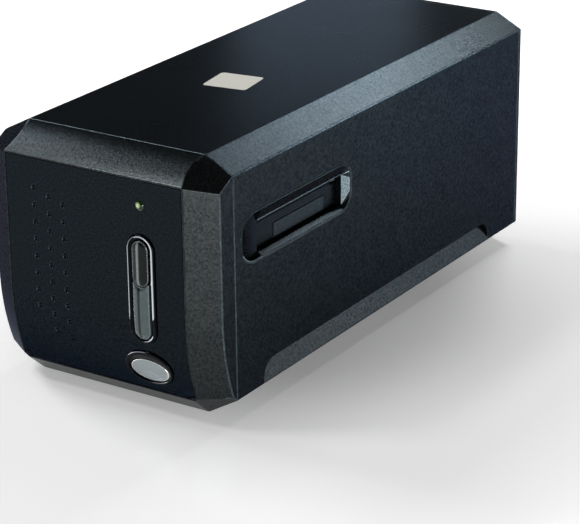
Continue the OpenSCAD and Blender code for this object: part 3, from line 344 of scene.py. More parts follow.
def glinting_lens(name, glint_colour, rim_colour, glow):
    """Dark acrylic in small facets; the lens_glint attribute marks a painted highlight, which
    glows.
    """
    def links(tree, place):
        facets = add(tree, "ShaderNodeTexVoronoi", {"Scale": 1000 / FACET_MM},
                     {"Vector": place}, feature="F1", distance="CHEBYCHEV")
        lens_glint = add(tree, "ShaderNodeAttribute", attribute_name="lens_glint").outputs["Fac"]
        tones = add(tree, "ShaderNodeMix", {"A": rim_colour, "B": glint_colour}, {"Factor": lens_glint},
                    data_type="RGBA")
        level = add(tree, "ShaderNodeMath", {1: glow}, {0: lens_glint}, operation="MULTIPLY")
        bump = add(tree, "ShaderNodeBump", {"Strength": 0.4, "Distance": 0.15 * MM},
                   {"Height": facets})
        return {"Base Color": tones, "Emission Color": tones, "Emission Strength": level,
                "Normal": bump}
    return finish(name, {"Roughness": 0.1, "IOR": 1.49}, links)


def clear_glass(name, colour):
    """Ground and coated lens glass, with a faint tint from its coating."""
    def links(tree, place):
        haze = add(tree, "ShaderNodeTexNoise", {"Scale": 1000 / TINT_MM}, {"Vector": place})
        return {"Base Color": add(tree, "ShaderNodeMix", {"A": colour, "B": shade(colour, 0.95)},
                                  {"Factor": haze}, data_type="RGBA")}
    return finish(name, {"Roughness": 0.02, "IOR": 1.6, "Transmission Weight": 0.95}, links)


def silvered(name, colour):
    """Front-silvered mirror: a vacuum coating with hardly any texture."""
    def links(tree, place):
        film = add(tree, "ShaderNodeTexNoise", {"Scale": 1000 / SILVER_MM}, {"Vector": place})
        return varied(tree, film, (shade(colour, 0.96), colour), (0.01, 0.04))
    return finish(name, {"Metallic": 1.0}, links)


def coated_paper(name, colour):
    """Paper label: calendered fibres, soft and bright."""
    def links(tree, place):
        fibre = add(tree, "ShaderNodeTexNoise", {"Scale": 1000 / FIBRE_MM, "Detail": 4},
                    {"Vector": place})
        return varied(tree, fibre, (shade(colour, 0.95), colour), (0.45, 0.6))
    return finish(name, {"Specular IOR Level": 0.4}, links)


def outer_finishes():
    """Finishes whose colours are in the looks. Their last numbers are grain and relief in mm."""
    looks = bpy.context.scene.scanner_looks
    # edge is the paler colour painted on rounded edges as a highlight
    casing, edge = shade(looks.casing_colour), shade(looks.edge_highlight_colour)
    steel_blue = linear("#7c879e")
    return {
        # ABS moulded in a finely eroded tool and painted charcoal metallic: satin, grey in the
        # light and black out of it. The grain is really about 0.2 mm, drawn coarser to show.
        "casing_plastic": charcoal("abs_charcoal_metallic", casing, edge, steel_blue,
                                   looks.casing_rough, 1.1, 0.05),
        # The same, sprayed thicker on the cover: it keeps more of its sheen at a low angle
        "cover_paint": charcoal("abs_charcoal_thick", casing, edge, linear("#a2a9b4"),
                                looks.casing_rough, 1.1, 0.05),
        # ABS, painted from the same can over a finer grain: smoother than the casing
        "panel_plastic": charcoal("abs_charcoal_smooth", shade(looks.panel_colour), edge,
                                  steel_blue, looks.panel_rough, 0.9, 0.025),
        # ABS, moulded black and painted thinly; its slot edges and slopes get a bright painted
        # highlight
        "trim_plastic": charcoal("abs_black_moulded", shade(looks.trim_colour),
                                 shade(looks.edge_highlight_colour, 5), steel_blue, 0.26, 0.7, 0.02),
    }


def control_finishes():
    """Finishes of the buttons, indicator and sticker."""
    return {
        # ABS, polished black: mirror-like round the buttons
        "gloss_black": glossy_black("abs_black_polished", linear("#020203"), linear("#a9b6c4"),
                                    0.05, 0.14),
        # Acrylic, smoked dark, clear coated: nearly black; a pale streak and edge are painted
        # highlights
        "button_dark": smoked("acrylic_smoked_dark", linear("#0a0d0e"), linear("#8d979a"),
                              linear("#7c8689")),
        # Acrylic, smoked grey-green, clear coated: pale; a dark painted reflection streak, a pale
        # painted edge
        "button_grey": smoked("acrylic_smoked_grey", linear("#5e6b6c"), linear("#1c2224"),
                              linear("#848e90")),
        # ABS, satin chrome plated, polished at the edge, which is painted near white as a highlight
        "power_silver": satin_chrome("abs_satin_chrome", linear("#9fa8ab"), linear("#eef1f2")),
        # Acrylic, dyed green and moulded clear: dark at its rim, with a pale painted highlight that
        # glows
        "indicator_green": glinting_lens("acrylic_green_lens", linear("#c6dd9c"), linear("#16300e"),
                                    0.4),
        # Paper, calendered: white and soft
        "label_white": coated_paper("paper_label", linear("#ebeae0")),
    }


def inner_finishes():
    """Finishes of the feet, screws and everything inside.

    The numbers are roughness, gloss, grain and relief in mm for plastic, and roughness, width
    of a line in mm and its stretch for metal.
    """
    return {
        # Rubber, compression moulded: matt and slightly dusty
        "rubber": moulded("rubber_moulded", linear("#141516"), 0.8, 0.3, 0.7, 0.03),
        # Steel, zinc plated: bright, with hardly any lines
        "zinc_steel": drawn_metal("steel_zinc_plated", linear("#a9adb0"), 0.32, 0.4, (1, 1, 1)),
        # Spring steel, hard drawn and oiled dark: lines along the wire
        "spring_steel": drawn_metal("spring_steel_drawn", linear("#5f6468"), 0.35, 0.3,
                                    (0.05, 1, 1)),
        # Steel bar, centreless ground: even and bright
        "ground_steel": drawn_metal("steel_ground", linear("#b5b9bc"), 0.2, 0.25, (1, 1, 1)),
        # Glass-filled nylon, moulded: dull, with a coarser grain
        "chassis_plastic": moulded("nylon_glass_filled", linear("#2b2f33"), 0.6, 0.5, 0.8, 0.03),
        # Nylon, moulded black: a little smoother
        "carriage_plastic": moulded("nylon_black_moulded", linear("#33373b"), 0.55, 0.5, 0.7,
                                    0.02),
        # Bronze, pressed and sintered: dull yellow, with dark pores
        "bronze": sintered("bronze_sintered", linear("#b08d57"), 0.45),
        # Brass, turned: rings left by the tool
        "brass": drawn_metal("brass_machined", linear("#b5a15c"), 0.28, 0.3, (1, 0.05, 1)),
        # Glass, silvered on its face: bright and even
        "mirror": silvered("mirror_silvered", linear("#dfe6ea")),
        # Optical glass, ground and coated: clear
        "lens_glass": clear_glass("glass_coated", linear("#cfe0ea")),
        # Aluminium, anodised matt black so that it reflects no stray light
        "lens_black": moulded("aluminium_anodised_black", linear("#17191b"), 0.5, 0.5, 0.4, 0.01),
        # Steel sheet, pressed and zinc plated: long rolling lines
        "sheet_steel": drawn_metal("steel_sheet_pressed", linear("#c9ccd0"), 0.35, 0.8,
                                   (0.03, 1, 1)),
        # Acrylic, opal: milky and even
        "diffuser": moulded("acrylic_opal", linear("#eef0ee"), 0.35, 0.5, 1.2, 0.005, tone=0.02),
        # Glass-epoxy laminate under green and white solder masks: faint tracks
        "board_green": laminate("board_green_laminate", linear("#1e5a36"), linear("#2f7a4c")),
        "board_white": laminate("board_white_laminate", linear("#eceeea"), linear("#d8dcd6")),
        # Epoxy, moulded round the chips: matt black
        "component_black": moulded("epoxy_moulded", linear("#232427"), 0.55, 0.5, 0.5, 0.02),
        # Ceramic, pressed: hard, fine and even
        "sensor_ceramic": moulded("ceramic_pressed", linear("#3b3b40"), 0.4, 0.5, 0.6, 0.01),
        # Nylon, natural: slightly yellow and waxy
        "switch_white": moulded("nylon_natural", linear("#d8d4c8"), 0.45, 0.5, 0.8, 0.008,
                                tone=0.03),
        # Acetal, moulded: slick and creamy
        "gear_plastic": moulded("acetal_moulded", linear("#ece6d2"), 0.35, 0.5, 0.9, 0.006,
                                tone=0.03),
        # Steel can, deep drawn and nickel plated: lines round the can
        "motor_case": drawn_metal("steel_can_plated", linear("#9aa0a5"), 0.3, 0.5, (1, 0.05, 1)),
    }


FINISHES = {}


def finish_of(slot):
    """The finish of a material slot, made once."""
    if not FINISHES:
        for group in (outer_finishes, control_finishes, inner_finishes):
            FINISHES.update(group())
    return FINISHES[slot]


# ---- Mesh helpers ----

def front_fall(z):
    """How far the curved front lies behind the flat front at height z."""
    below = max(0.0, CURVE_Z - z)
    return CURVE_R - math.sqrt(CURVE_R ** 2 - below ** 2)


def loose_copy(node):
    """A CAD node's mesh with its triangles joined into whole flat faces."""
    bm = bmesh.new()
    bm.from_mesh(NODES[node].data)
    bmesh.ops.remove_doubles(bm, verts=bm.verts[:], dist=WELD)
    bmesh.ops.dissolve_limit(bm, angle_limit=math.radians(0.2), verts=bm.verts[:],
                             edges=bm.edges[:])
    return bm


def round_edges(bm, chosen, radius, segments=3, edge_highlight=None):
    """Rounds the chosen edges, and marks the rounding for a painted highlight as far as
    edge_highlight(centre) says.
    """
    rim = bm.faces.layers.float.new("rim")
    edges = [e for e in bm.edges if len(e.link_faces) == 2 and chosen(e)]
    rounding = bmesh.ops.bevel(bm, geom=edges, offset=radius, offset_type="OFFSET",
                               affect="EDGES", segments=segments, profile=0.5, material=-1,
                               clamp_overlap=False)
    for f in rounding["faces"]:
        if f.is_valid and edge_highlight:
            f[rim] = edge_highlight(f.calc_center_median())


def cut_faces(bm, faces, point, normal):
    """Cuts the faces along a plane, and returns the faces they become."""
    around = dict.fromkeys(part for f in faces for part in [*f.verts, *f.edges])
    parted = bmesh.ops.bisect_plane(bm, geom=faces + list(around), plane_co=point,
                                    plane_no=normal)
    return [g for g in parted["geom"] if isinstance(g, bmesh.types.BMFace)]


def turn(edge):
    """Angle between an edge's two faces, in degrees."""
    return math.degrees(edge.calc_face_angle(0))


def placed(name, data):
    """An object of that name in the scene."""
    obj = bpy.data.objects.new(name, data)
    bpy.context.scene.collection.objects.link(obj)
    return obj


def solid(name, bm, material):
    """An object with a mesh of one material."""
    mesh = bpy.data.meshes.new(name)
    bm.to_mesh(mesh)
    bm.free()
    mesh.materials.append(material)
    return placed(name, mesh)


def piece(bm, name, slot, body, *replaced, sharp=30, paint=None):
    """Makes a mesh a piece of the object: its finish, shading, body and what it stands for.

    paint names another finish than the slot's own.
    """
    obj = solid(name, bm, finish_of(paint or slot))
    obj.data.shade_smooth()
    obj.data.set_sharp_from_angle(angle=math.radians(sharp))
    normals = obj.modifiers.new("Weighted normals", "WEIGHTED_NORMAL")
    normals.keep_sharp = True
    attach(obj, body)
    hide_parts(*replaced)


def spun(profile, x, z, steps=72):
    """Spins a (radius, depth behind the flat front) profile about an axis along Y."""
    bm = bmesh.new()
    verts = [bm.verts.new((x + r, FRONT_Y + depth, z)) for r, depth in profile]
    edges = [bm.edges.new(pair) for pair in zip(verts, verts[1:])]
    bmesh.ops.spin(bm, geom=verts + edges, cent=(x, 0, z), axis=(0, 1, 0), dvec=(0, 0, 0),
                   angle=math.tau, steps=steps, use_merge=True, use_normal_flip=False,
                   use_duplicate=False)
    return bm


def drawn_out(bm, x, z, place_at):
    """Moves each point of a spun shape from its (radius, angle) to place_at's (x, z)."""
    for v in bm.verts:
        radius = math.hypot(v.co.x - x, v.co.z - z)
        angle = math.atan2(v.co.z - z, v.co.x - x)
        v.co.x, v.co.z = place_at(radius, angle)


def close_seams(bm):
    """Merges what a spin leaves double, and turns all faces outwards."""
    bmesh.ops.remove_doubles(bm, verts=bm.verts[:], dist=SEAM)
    bmesh.ops.recalc_face_normals(bm, faces=bm.faces[:])


def follow_front(bm):
    """Splits long faces and lays the shape on the curved front."""
    step = 2.5 * MM
    for _ in range(6):
        long_edges = [e for e in bm.edges
                      if abs(e.verts[0].co.z - e.verts[1].co.z) > step
                      and abs(e.verts[0].co.y - e.verts[1].co.y) < step / 5]
        if not long_edges:
            break
        bmesh.ops.subdivide_edges(bm, edges=long_edges, cuts=1, use_grid_fill=True)
    for v in bm.verts:
        v.co.y += front_fall(v.co.z)
    close_seams(bm)


def arc(centre, half, start, end, count):
    """Points of an ellipse between two angles, in degrees."""
    for i in range(count + 1):
        a = math.radians(start + (end - start) * i / count)
        yield centre[0] + half[0] * math.cos(a), centre[1] + half[1] * math.sin(a)


# ---- Casing ----

def inside_skin(co):
    """How far a point lies inside the casing's eight-sided outline."""
    top_angle = math.atan2(TOP_SLOPE[1], TOP_SLOPE[0])
    base_angle = math.atan2(BASE_SLOPE[1], BASE_SLOPE[0])
    in_x = SIDE_X - abs(co.x)
    below_slope = TOP_Z - TOP_SLOPE[1] - co.z
    above_slope = co.z - BASE_Z - BASE_SLOPE[1]
    return min(in_x, TOP_Z - co.z, co.z - BASE_Z,
               in_x * math.sin(top_angle) + below_slope * math.cos(top_angle),
               in_x * math.sin(base_angle) + above_slope * math.cos(base_angle))


def skin_edge(edge):
    """An edge of the outer skin that turns a corner."""
    return turn(edge) > 12 and all(inside_skin(v.co) < 0.03 * MM for v in edge.verts)


def outer_edge(edge):
    """An edge of the bezel with a face that looks away from the body's middle."""
    return turn(edge) >= 12 and any(
        f.normal.dot((f.calc_center_median() - MIDDLE).normalized()) > 0.35
        for f in edge.link_faces)


def front_edge(edge):
    """An edge of the front panel's face, or of a dimple in it."""
    return turn(edge) > 20 and any(f.normal.y < -0.55 for f in edge.link_faces) and \
        all(v.co.y < FRONT_Y + front_fall(v.co.z) + 0.3 * MM for v in edge.verts)


def casing_edge_highlight(co):
    """How strong the painted highlight on the casing's rounded edges is: along its sides and round
    its two ends.
    """
    side = co.z > 22 * MM and abs(co.x) > SIDE_X - 1.5 * MM
    return 0.7 if side or abs(co.y) > 115 * MM else 0.0


def bezel_edge_highlight(co):
    """How strong the painted highlight on the bezel's rounded edges is: round its outline, but not
    under the chin.
    """
    outline = abs(co.x) > 56 * MM or co.z > TOP_Z - 1.5 * MM
    return 0.9 if outline and co.z > 8 * MM else 0.0


def dimple_edge_highlight(co):
    """How strong the painted highlight on the front panel's rounded edges is: round its dimples
    only.
    """
    dimple = -40 * MM < co.x < -10 * MM and 30 * MM < co.z < 105 * MM
    return 0.25 if dimple else 0.0


def crown_top_facet(bm):
    """Swells the bezel's sloped top facet a little along its normal, most at half its height."""
    strips = 8
    sloped = [f for f in bm.faces if f.normal.y < -0.3 and f.normal.z > 0.3]
    facet = max(sloped, key=lambda f: f.calc_area())
    normal = facet.normal.copy()
    down = normal.cross(Vector((1, 0, 0)))
    heights = [v.co.dot(down) for v in facet.verts]
    low, high = min(heights), max(heights)
    cut = [facet]
    for i in range(1, strips):
        cut = cut_faces(bm, cut, down * (low + (high - low) * i / strips), down)
    for v in {v for f in cut for v in f.verts}:
        share = (v.co.dot(down) - low) / (high - low)
        v.co += normal * FACET_CROWN * 4 * share * (1 - share)


class SCANNER_OT_casing(bpy.types.Operator):
    """Builds the housing, cover, bezel, front panel and rear panel with rounded edges"""
    bl_idname = "scanner.casing"
    bl_label = "Casing"

    def execute(self, context):
        looks = context.scene.scanner_looks
        for node in ("lower_housing", "top_cover", "rear_panel"):
            bm = loose_copy(node)
            round_edges(bm, skin_edge, looks.edge_radius, edge_highlight=casing_edge_highlight)
            piece(bm, node + "_shell", "casing_plastic", "enclosure", node,
                  paint="cover_paint" if node == "top_cover" else None)
        bm = loose_copy("front_bezel")
        crown_top_facet(bm)
        round_edges(bm, outer_edge, looks.edge_radius, edge_highlight=bezel_edge_highlight)
        for v in bm.verts:            # the crowned facet's corners stay flush with the housing
            v.co.x = max(-SIDE_X, min(SIDE_X, v.co.x))
        bare = bm.faces.layers.float.new("bare")
        for f in bm.faces:            # under the chin
            f[bare] = float(f.normal.z < -0.5 and f.normal.y < -0.3)
        piece(bm, "front_bezel_shell", "casing_plastic", "enclosure", "front_bezel")
        bm = loose_copy("front_panel")
        round_edges(bm, front_edge, looks.panel_radius, 2, edge_highlight=dimple_edge_highlight)
        piece(bm, "front_panel_sheet", "panel_plastic", "enclosure", "front_panel")
        return {"FINISHED"}


# ---- Film slot ----

def slot_rim(edge):
    """An edge round the outside of the slot frame, or along the top or bottom of its opening."""
    if turn(edge) < 25:
        return False
    outer = all(abs(v.co.x) > SIDE_X - 0.02 * MM for v in edge.verts)
    along = abs(edge.verts[0].co.y - edge.verts[1].co.y) > 50 * MM
    return outer or (along and all(abs(v.co.x) > 57 * MM for v in edge.verts))


def slot_edge_highlight(co):
    """How strong the painted highlight on a rounded edge of the slot frame is: most along the top
    of the opening.
    """
    if abs(co.x) > SIDE_X - 1.2 * MM:
        return 0.06
    return 1.0 if co.z > 80 * MM else 0.05


def paint_slot_highlights(bm):
    """Paints highlights on the slopes round the opening."""
    slopes = [f for f in bm.faces if abs(f.normal.x) > 0.8]
    over = [f for f in slopes if f.normal.z < -0.2 and f.calc_area() > LONG_FACE]
    cut_faces(bm, over, (0, 0, LIP_Z), (0, 0, 1))
    rim = bm.faces.layers.float["rim"]
    for f in bm.faces:
        if abs(f.normal.x) <= 0.8:
            continue
        if f.normal.z < -0.2 and f.calc_center_median().z < LIP_Z:
            f[rim] = 0.9      # lip along the top of the opening
        if f.normal.z > 0.2 and f.calc_area() > LONG_FACE:
            f[rim] = 0.08     # slope along the bottom of the opening
        if -0.6 < f.normal.y < -0.3 and f.calc_area() > END_FACE:
            f[rim] = 0.6      # rear end of the opening


def flap_edge(edge):
    """An edge of a dust door below its hinge."""
    return turn(edge) > 60 and all(v.co.z < 80 * MM for v in edge.verts)


class SCANNER_OT_slots(bpy.types.Operator):
    """Builds the frames of the film slot and the dust doors behind them"""
    bl_idname = "scanner.slots"
    bl_label = "Film slot"

    def execute(self, context):
        for side in ("right", "left"):
            bm = loose_copy("slot_trim_" + side)
            round_edges(bm, slot_rim, 0.25 * MM, 2, edge_highlight=slot_edge_highlight)
            paint_slot_highlights(bm)
            piece(bm, "slot_frame_" + side, "trim_plastic", "enclosure", "slot_trim_" + side)
            bm = loose_copy("dust_door_" + side)
            round_edges(bm, flap_edge, 0.2 * MM, 2)
            fields = [f for f in bm.faces if f.calc_area() > DOOR_FIELD]
            outermost = max(fields, key=lambda f: abs(f.calc_center_median().x))
            outermost[bm.faces.layers.float["rim"]] = 0.05      # its raised field made a little paler
            piece(bm, "dust_flap_" + side, "trim_plastic", side + "_door", "dust_door_" + side)
        return {"FINISHED"}


# ---- Controls ----

def stadium_point(radius, angle, low, high):
    """A point of a round-ended bar whose end centres are at low and high."""
    centre = high if math.sin(angle) > -1e-6 else low
    return SCAN_X + radius * math.cos(angle), centre + radius * math.sin(angle)


def scan_ring_point(radius, angle):
    """Between an inner and an outer round-ended bar whose middles differ."""
    share = (radius - RING_INNER_R) / (RING_OUTER_R - RING_INNER_R)
    low = RING_INNER_LOW + (RING_OUTER_LOW - RING_INNER_LOW) * share
    high = RING_INNER_HIGH + (RING_OUTER_HIGH - RING_INNER_HIGH) * share
    return stadium_point(radius, angle, low, high)


def upper_cap_point(radius, angle):
    """A round-ended bar."""
    return stadium_point(radius, angle, UPPER_CAP_LOW, UPPER_CAP_HIGH)


def lower_cap_point(radius, angle):
    """Round below, and hollowed out above to clear the upper cap."""
    if math.sin(angle) < -1e-6:
        return stadium_point(radius, angle, LOWER_CAP_LOW, LOWER_CAP_SPINE)
    share = radius / CAP_R
    x = CAP_R * math.cos(angle)
    hollow = UPPER_CAP_LOW - math.sqrt((CAP_R + CAP_SPLIT) ** 2 - x * x)
    return SCAN_X + x * share, LOWER_CAP_SPINE + (min(hollow, HORN_Z) - LOWER_CAP_SPINE) * share


def power_ring_point(radius, angle):
    """Between an inner and an outer oval whose middles differ."""
    share = (radius - POWER_RING_SPUN[0]) / (POWER_RING_SPUN[1] - POWER_RING_SPUN[0])
    inner = [s + POWER_GAP for s in POWER_CAP_SIZE]
    a, b = (i + (o - i) * share for i, o in zip(inner, POWER_RING_SIZE))
    middle = POWER_CAP_Z + (POWER_RING_Z - POWER_CAP_Z) * share
    return POWER_X + a * math.cos(angle), middle + b * math.sin(angle)


def power_cap_point(radius, angle):
    """An oval."""
    share = radius / POWER_CAP_SIZE[1]
    return (POWER_X + POWER_CAP_SIZE[0] * share * math.cos(angle),
            POWER_CAP_Z + POWER_CAP_SIZE[1] * share * math.sin(angle))


def ring(name, node, x, z, radii, flange, place_at):
    """Builds a glossy bead, steep outside and gentle inside, with a flange behind the panel."""
    inner, outer = radii
    crest = inner + 0.75 * (outer - inner)
    root = 0.1 * MM                # how deep in the panel the bead begins
    rise = -RING_PROUD - root
    outside = list(arc((crest, root), (outer - crest, rise), 0, 90, 7))
    inside = list(arc((crest, root), (crest - inner, rise), 90, 180, 10))
    profile = [(outer, PANEL_BACK)] + outside + inside[1:] + [
        (inner, FLANGE_BACK), (outer + flange, FLANGE_BACK), (outer + flange, PANEL_BACK),
        (outer, PANEL_BACK)]
    bm = spun(profile, x, z)
    drawn_out(bm, x, z, place_at)
    follow_front(bm)
    piece(bm, name, "gloss_black", "enclosure", node, sharp=40)


def cap(name, slot, body, node, x, z, radius, proud, sag, place_at):
    """Builds a domed cap, and marks its rounded front edge for its finish's painted highlight."""
    dome = [(radius * t, -proud + sag * t * t) for t in (0.00005, 0.2, 0.4, 0.6, 0.75)]
    edge = list(arc((radius - CAP_EDGE, -proud + sag + CAP_EDGE), (CAP_EDGE, -CAP_EDGE),
                    90, 0, 5))
    back = [(radius, CAP_WALL), (radius, CAP_BACK), (radius * 0.0001, CAP_BACK)]
    bm = spun(dome + edge + back, x, z)
    rim = bm.verts.layers.float.new("rim")
    wall_y = FRONT_Y - proud + sag + 0.7 * CAP_EDGE
    for v in bm.verts:
        inner = radius - math.hypot(v.co.x - x, v.co.z - z)
        v[rim] = 1.0 if inner < 0.8 * CAP_EDGE and v.co.y < wall_y else 0.0
    drawn_out(bm, x, z, place_at)
    follow_front(bm)
    piece(bm, name, slot, body, node, sharp=50)


class SCANNER_OT_scan_buttons(bpy.types.Operator):
    """Builds the oval ring and the two domed scan buttons in it"""
    bl_idname = "scanner.scan_buttons"
    bl_label = "Scan buttons"

    def execute(self, context):
        middle = (RING_OUTER_LOW + RING_OUTER_HIGH) / 2
        ring("scan_ring_bead", "scan_button_ring", SCAN_X, middle, (RING_INNER_R, RING_OUTER_R),
             RING_FLANGE, scan_ring_point)
        cap("upper_scan_cap", "button_dark", "upper_button", "upper_scan_button",
            SCAN_X, middle, CAP_R, CAP_PROUD, CAP_SAG, upper_cap_point)
        cap("lower_scan_cap", "button_grey", "lower_button", "lower_scan_button",
            SCAN_X, middle, CAP_R, CAP_PROUD, CAP_SAG, lower_cap_point)
        return {"FINISHED"}


class SCANNER_OT_power_button(bpy.types.Operator):
    """Builds the oval power button and its ring"""
    bl_idname = "scanner.power_button"
    bl_label = "Power button"

    def execute(self, context):
        ring("power_ring_bead", "power_button_ring", POWER_X, POWER_RING_Z, POWER_RING_SPUN,
             POWER_FLANGE, power_ring_point)
        cap("power_cap", "power_silver", "power_key", "power_button",
            POWER_X, POWER_CAP_Z, POWER_CAP_SIZE[1], POWER_PROUD, POWER_SAG, power_cap_point)
        return {"FINISHED"}


class SCANNER_OT_indicator(bpy.types.Operator):
    """Builds the domed green indicator lens"""
    bl_idname = "scanner.indicator"
    bl_label = "Indicator"

    def execute(self, context):
        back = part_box("light_pipe")[1].y - FRONT_Y
        crown = [(LIGHT_R * t, -LIGHT_PROUD * (1 - t * t))
                 for t in (0.0005, 0.15, 0.3, 0.45, 0.6, 0.75, 0.9, 1)]
        flange = LIGHT_R + LIGHT_FLANGE
        profile = crown + [(LIGHT_R, PANEL_BACK), (flange, PANEL_BACK), (flange, FLANGE_BACK),
                           (LIGHT_R, FLANGE_BACK), (LIGHT_R, back), (LIGHT_R * 0.0005, back)]
        bm = spun(profile, LIGHT_X, LIGHT_Z, 40)
        close_seams(bm)
        # A pale spot a little off the middle: a painted highlight, which the finish also makes glow
        lens_glint = bm.verts.layers.float.new("lens_glint")
        for v in bm.verts:
            away = math.hypot(v.co.x - LIGHT_X - GLINT_OFF[0], v.co.z - LIGHT_Z - GLINT_OFF[1])
            v[lens_glint] = max(0.0, 1 - 2.2 * (away / LIGHT_R) ** 2)
        piece(bm, "indicator_lens", "indicator_green", "enclosure", "light_pipe", sharp=40)
        return {"FINISHED"}


class SCANNER_OT_label(bpy.types.Operator):
    """Builds the blank sticker on the cover"""
    bl_idname = "scanner.label"
    bl_label = "Sticker"

    def execute(self, context):
        low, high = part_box("top_label")
        bm = bmesh.new()
        bmesh.ops.create_cube(bm, size=1)
        upright = [e for e in bm.edges if abs(e.verts[0].co.z - e.verts[1].co.z) > 0.5]
        bmesh.ops.scale(bm, vec=(*LABEL_SIZE, high.z - low.z), verts=bm.verts[:])
        bmesh.ops.bevel(bm, geom=upright, offset=LABEL_CORNER, offset_type="OFFSET",
                        affect="EDGES", segments=6, profile=0.5, material=-1)
        turned = Matrix.Rotation(math.radians(LABEL_TURN), 4, "Z")
        bmesh.ops.transform(bm, matrix=Matrix.Translation((low + high) / 2) @ turned,
                            verts=bm.verts[:])
        piece(bm, "cover_sticker", "label_white", "enclosure", "top_label")
        return {"FINISHED"}


class SCANNER_OT_inside(bpy.types.Operator):
    """Gives every piece that keeps its CAD shape its finish"""
    bl_idname = "scanner.inside"
    bl_label = "Finishes"

    def execute(self, context):
        slots = {s["node"]: s["material_slot"] for s in frame["record"]["subparts"]}
        for node, obj in NODES.items():
            for holder in obj.material_slots:
                holder.material = finish_of(slots[node])
        return {"FINISHED"}


# ---- Stage ----

CAMERA_TARGET = (0, 1 * MM, 60 * MM)
CAMERA_TURN = (33.066, 21.681, -0.618)    # yaw, pitch and roll, in degrees
CAMERA_SHIFT = (8.638 * MM, -35.89 * MM)  # sideways and upwards
CAMERA_AWAY = 1110.744 * MM
CAMERA_LENS = 146.6
CAMERA_SENSOR = 36
FLOOR_HALF = 4                            # metres
FLOOR_RISE = (0.07, 0.16, 0.45)           # distances at which the floor's three lifts are full

# Each lamp's name, place, size and power, all aimed at LAMP_AIM
LAMP_AIM = (0, 0, 0.06)
LAMPS = (
    ("softbox_left", (-1.1, 0, 1.0), (0.5, 0.5), 8.8),
    ("softbox_key", (-0.72, -0.56, 1.22), (0.25, 0.25), 3.8),
    ("softbox_back", (0, 0.58, 0.525), (0.3, 0.12), 2.15),
    ("softbox_sheen", (-0.22, 0.4, 0.22), (0.12, 0.12), 0.065),
    ("strip_front", (0.5, -0.9, 0.1), (0.4, 0.16), 2.3),
    ("strip_back", (0.62, 0.79, 0.14), (0.5, 0.2), 0.9),
)


def camera_matrix():
    """The camera's place and turn, moved sideways and upwards in its own plane."""
    yaw, pitch, roll = (math.radians(a) for a in CAMERA_TURN)
    back = Vector((math.sin(yaw) * math.cos(pitch), -math.cos(yaw) * math.cos(pitch),
                   math.sin(pitch)))
    right = Vector((math.cos(yaw), math.sin(yaw), 0))
    up = back.cross(right)
    axes = (right * math.cos(roll) + up * math.sin(roll),
            up * math.cos(roll) - right * math.sin(roll), back)
    matrix = Matrix(axes).transposed().to_4x4()
    matrix.translation = (Vector(CAMERA_TARGET) + back * CAMERA_AWAY
                          + right * CAMERA_SHIFT[0] + up * CAMERA_SHIFT[1])
    return matrix


def area_lamp(name, place_at, aim, size, power):
    """A lamp that isn't seen itself."""
    lamp = bpy.data.lights.new(name, "AREA")
    lamp.shape = "RECTANGLE"
    lamp.size, lamp.size_y = size
    lamp.energy = power
    obj = placed(name, lamp)
    towards = (Vector(aim) - Vector(place_at)).to_track_quat("-Z", "Y").to_matrix().to_4x4()
    obj.matrix_world = Matrix.Translation(place_at) @ towards
    obj.visible_camera = False
    return obj


def floor_finish(stage):
    """Acrylic sheet, cast and polished: white and glossy, lifted to white away from the scanner."""
    def links(tree, place):
        path = add(tree, "ShaderNodeLightPath")
        seen = add(tree, "ShaderNodeMath", operation="MAXIMUM",
                   links={0: path.outputs["Is Camera Ray"], 1: path.outputs["Is Glossy Ray"]})
        all_seen = add(tree, "ShaderNodeMath", operation="MAXIMUM",
                       links={0: seen, 1: path.outputs["Is Transmission Ray"]})
        away = add(tree, "ShaderNodeVectorMath", links={0: place}, operation="LENGTH")
        # The floor is lifted least round the scanner, so it stays darker there: painted shade round
        # its foot
        near = add(tree, "ShaderNodeMapRange",
                   {"From Min": FLOOR_RISE[0], "From Max": FLOOR_RISE[1],
                    "To Min": stage.floor_lift, "To Max": stage.mid_lift},
                   {"Value": away}, interpolation_type="SMOOTHSTEP")
        level = add(tree, "ShaderNodeMapRange",
                    {"From Min": FLOOR_RISE[1], "From Max": FLOOR_RISE[2],
                     "To Max": stage.far_lift},
                    {"Value": away, "To Min": near}, interpolation_type="SMOOTHSTEP")
        glow = add(tree, "ShaderNodeMath", links={0: all_seen, 1: level}, operation="MULTIPLY")
        haze = add(tree, "ShaderNodeTexNoise", {"Scale": 1000 / SHEET_MM, "Detail": 2},
                   {"Vector": place})
        sheen = add(tree, "ShaderNodeMapRange", {"To Min": 0.08, "To Max": 0.12}, {"Value": haze})
        return {"Emission Strength": glow, "Roughness": sheen}
    return finish("acrylic_white_sheet",
                  {"Base Color": shade(stage.floor_colour), "Emission Color": (1, 1, 1, 1),
                   "IOR": 1.49}, links)


def world_light(horizon, overhead):
    """Even room light: pale walls low down, which fade into a dim ceiling."""
    world = bpy.data.worlds.new("studio")
    world.use_nodes = True
    tree = world.node_tree
    tree.nodes.clear()
    towards = add(tree, "ShaderNodeTexCoord").outputs["Generated"]
    height = add(tree, "ShaderNodeSeparateXYZ", links={0: towards}).outputs["Z"]
    fade = add(tree, "ShaderNodeMapRange", {"From Max": 0.25, "To Min": 1.0, "To Max": 0.0},
               {"Value": height})
    wall = add(tree, "ShaderNodeMath", {1: 2}, {0: fade}, operation="POWER")
    level = add(tree, "ShaderNodeMath", {1: horizon, 2: overhead}, {0: wall},
                operation="MULTIPLY_ADD")
    light = add(tree, "ShaderNodeBackground", {"Color": (1, 1, 1, 1)}, {"Strength": level})
    add(tree, "ShaderNodeOutputWorld", links={"Surface": light})
    return world


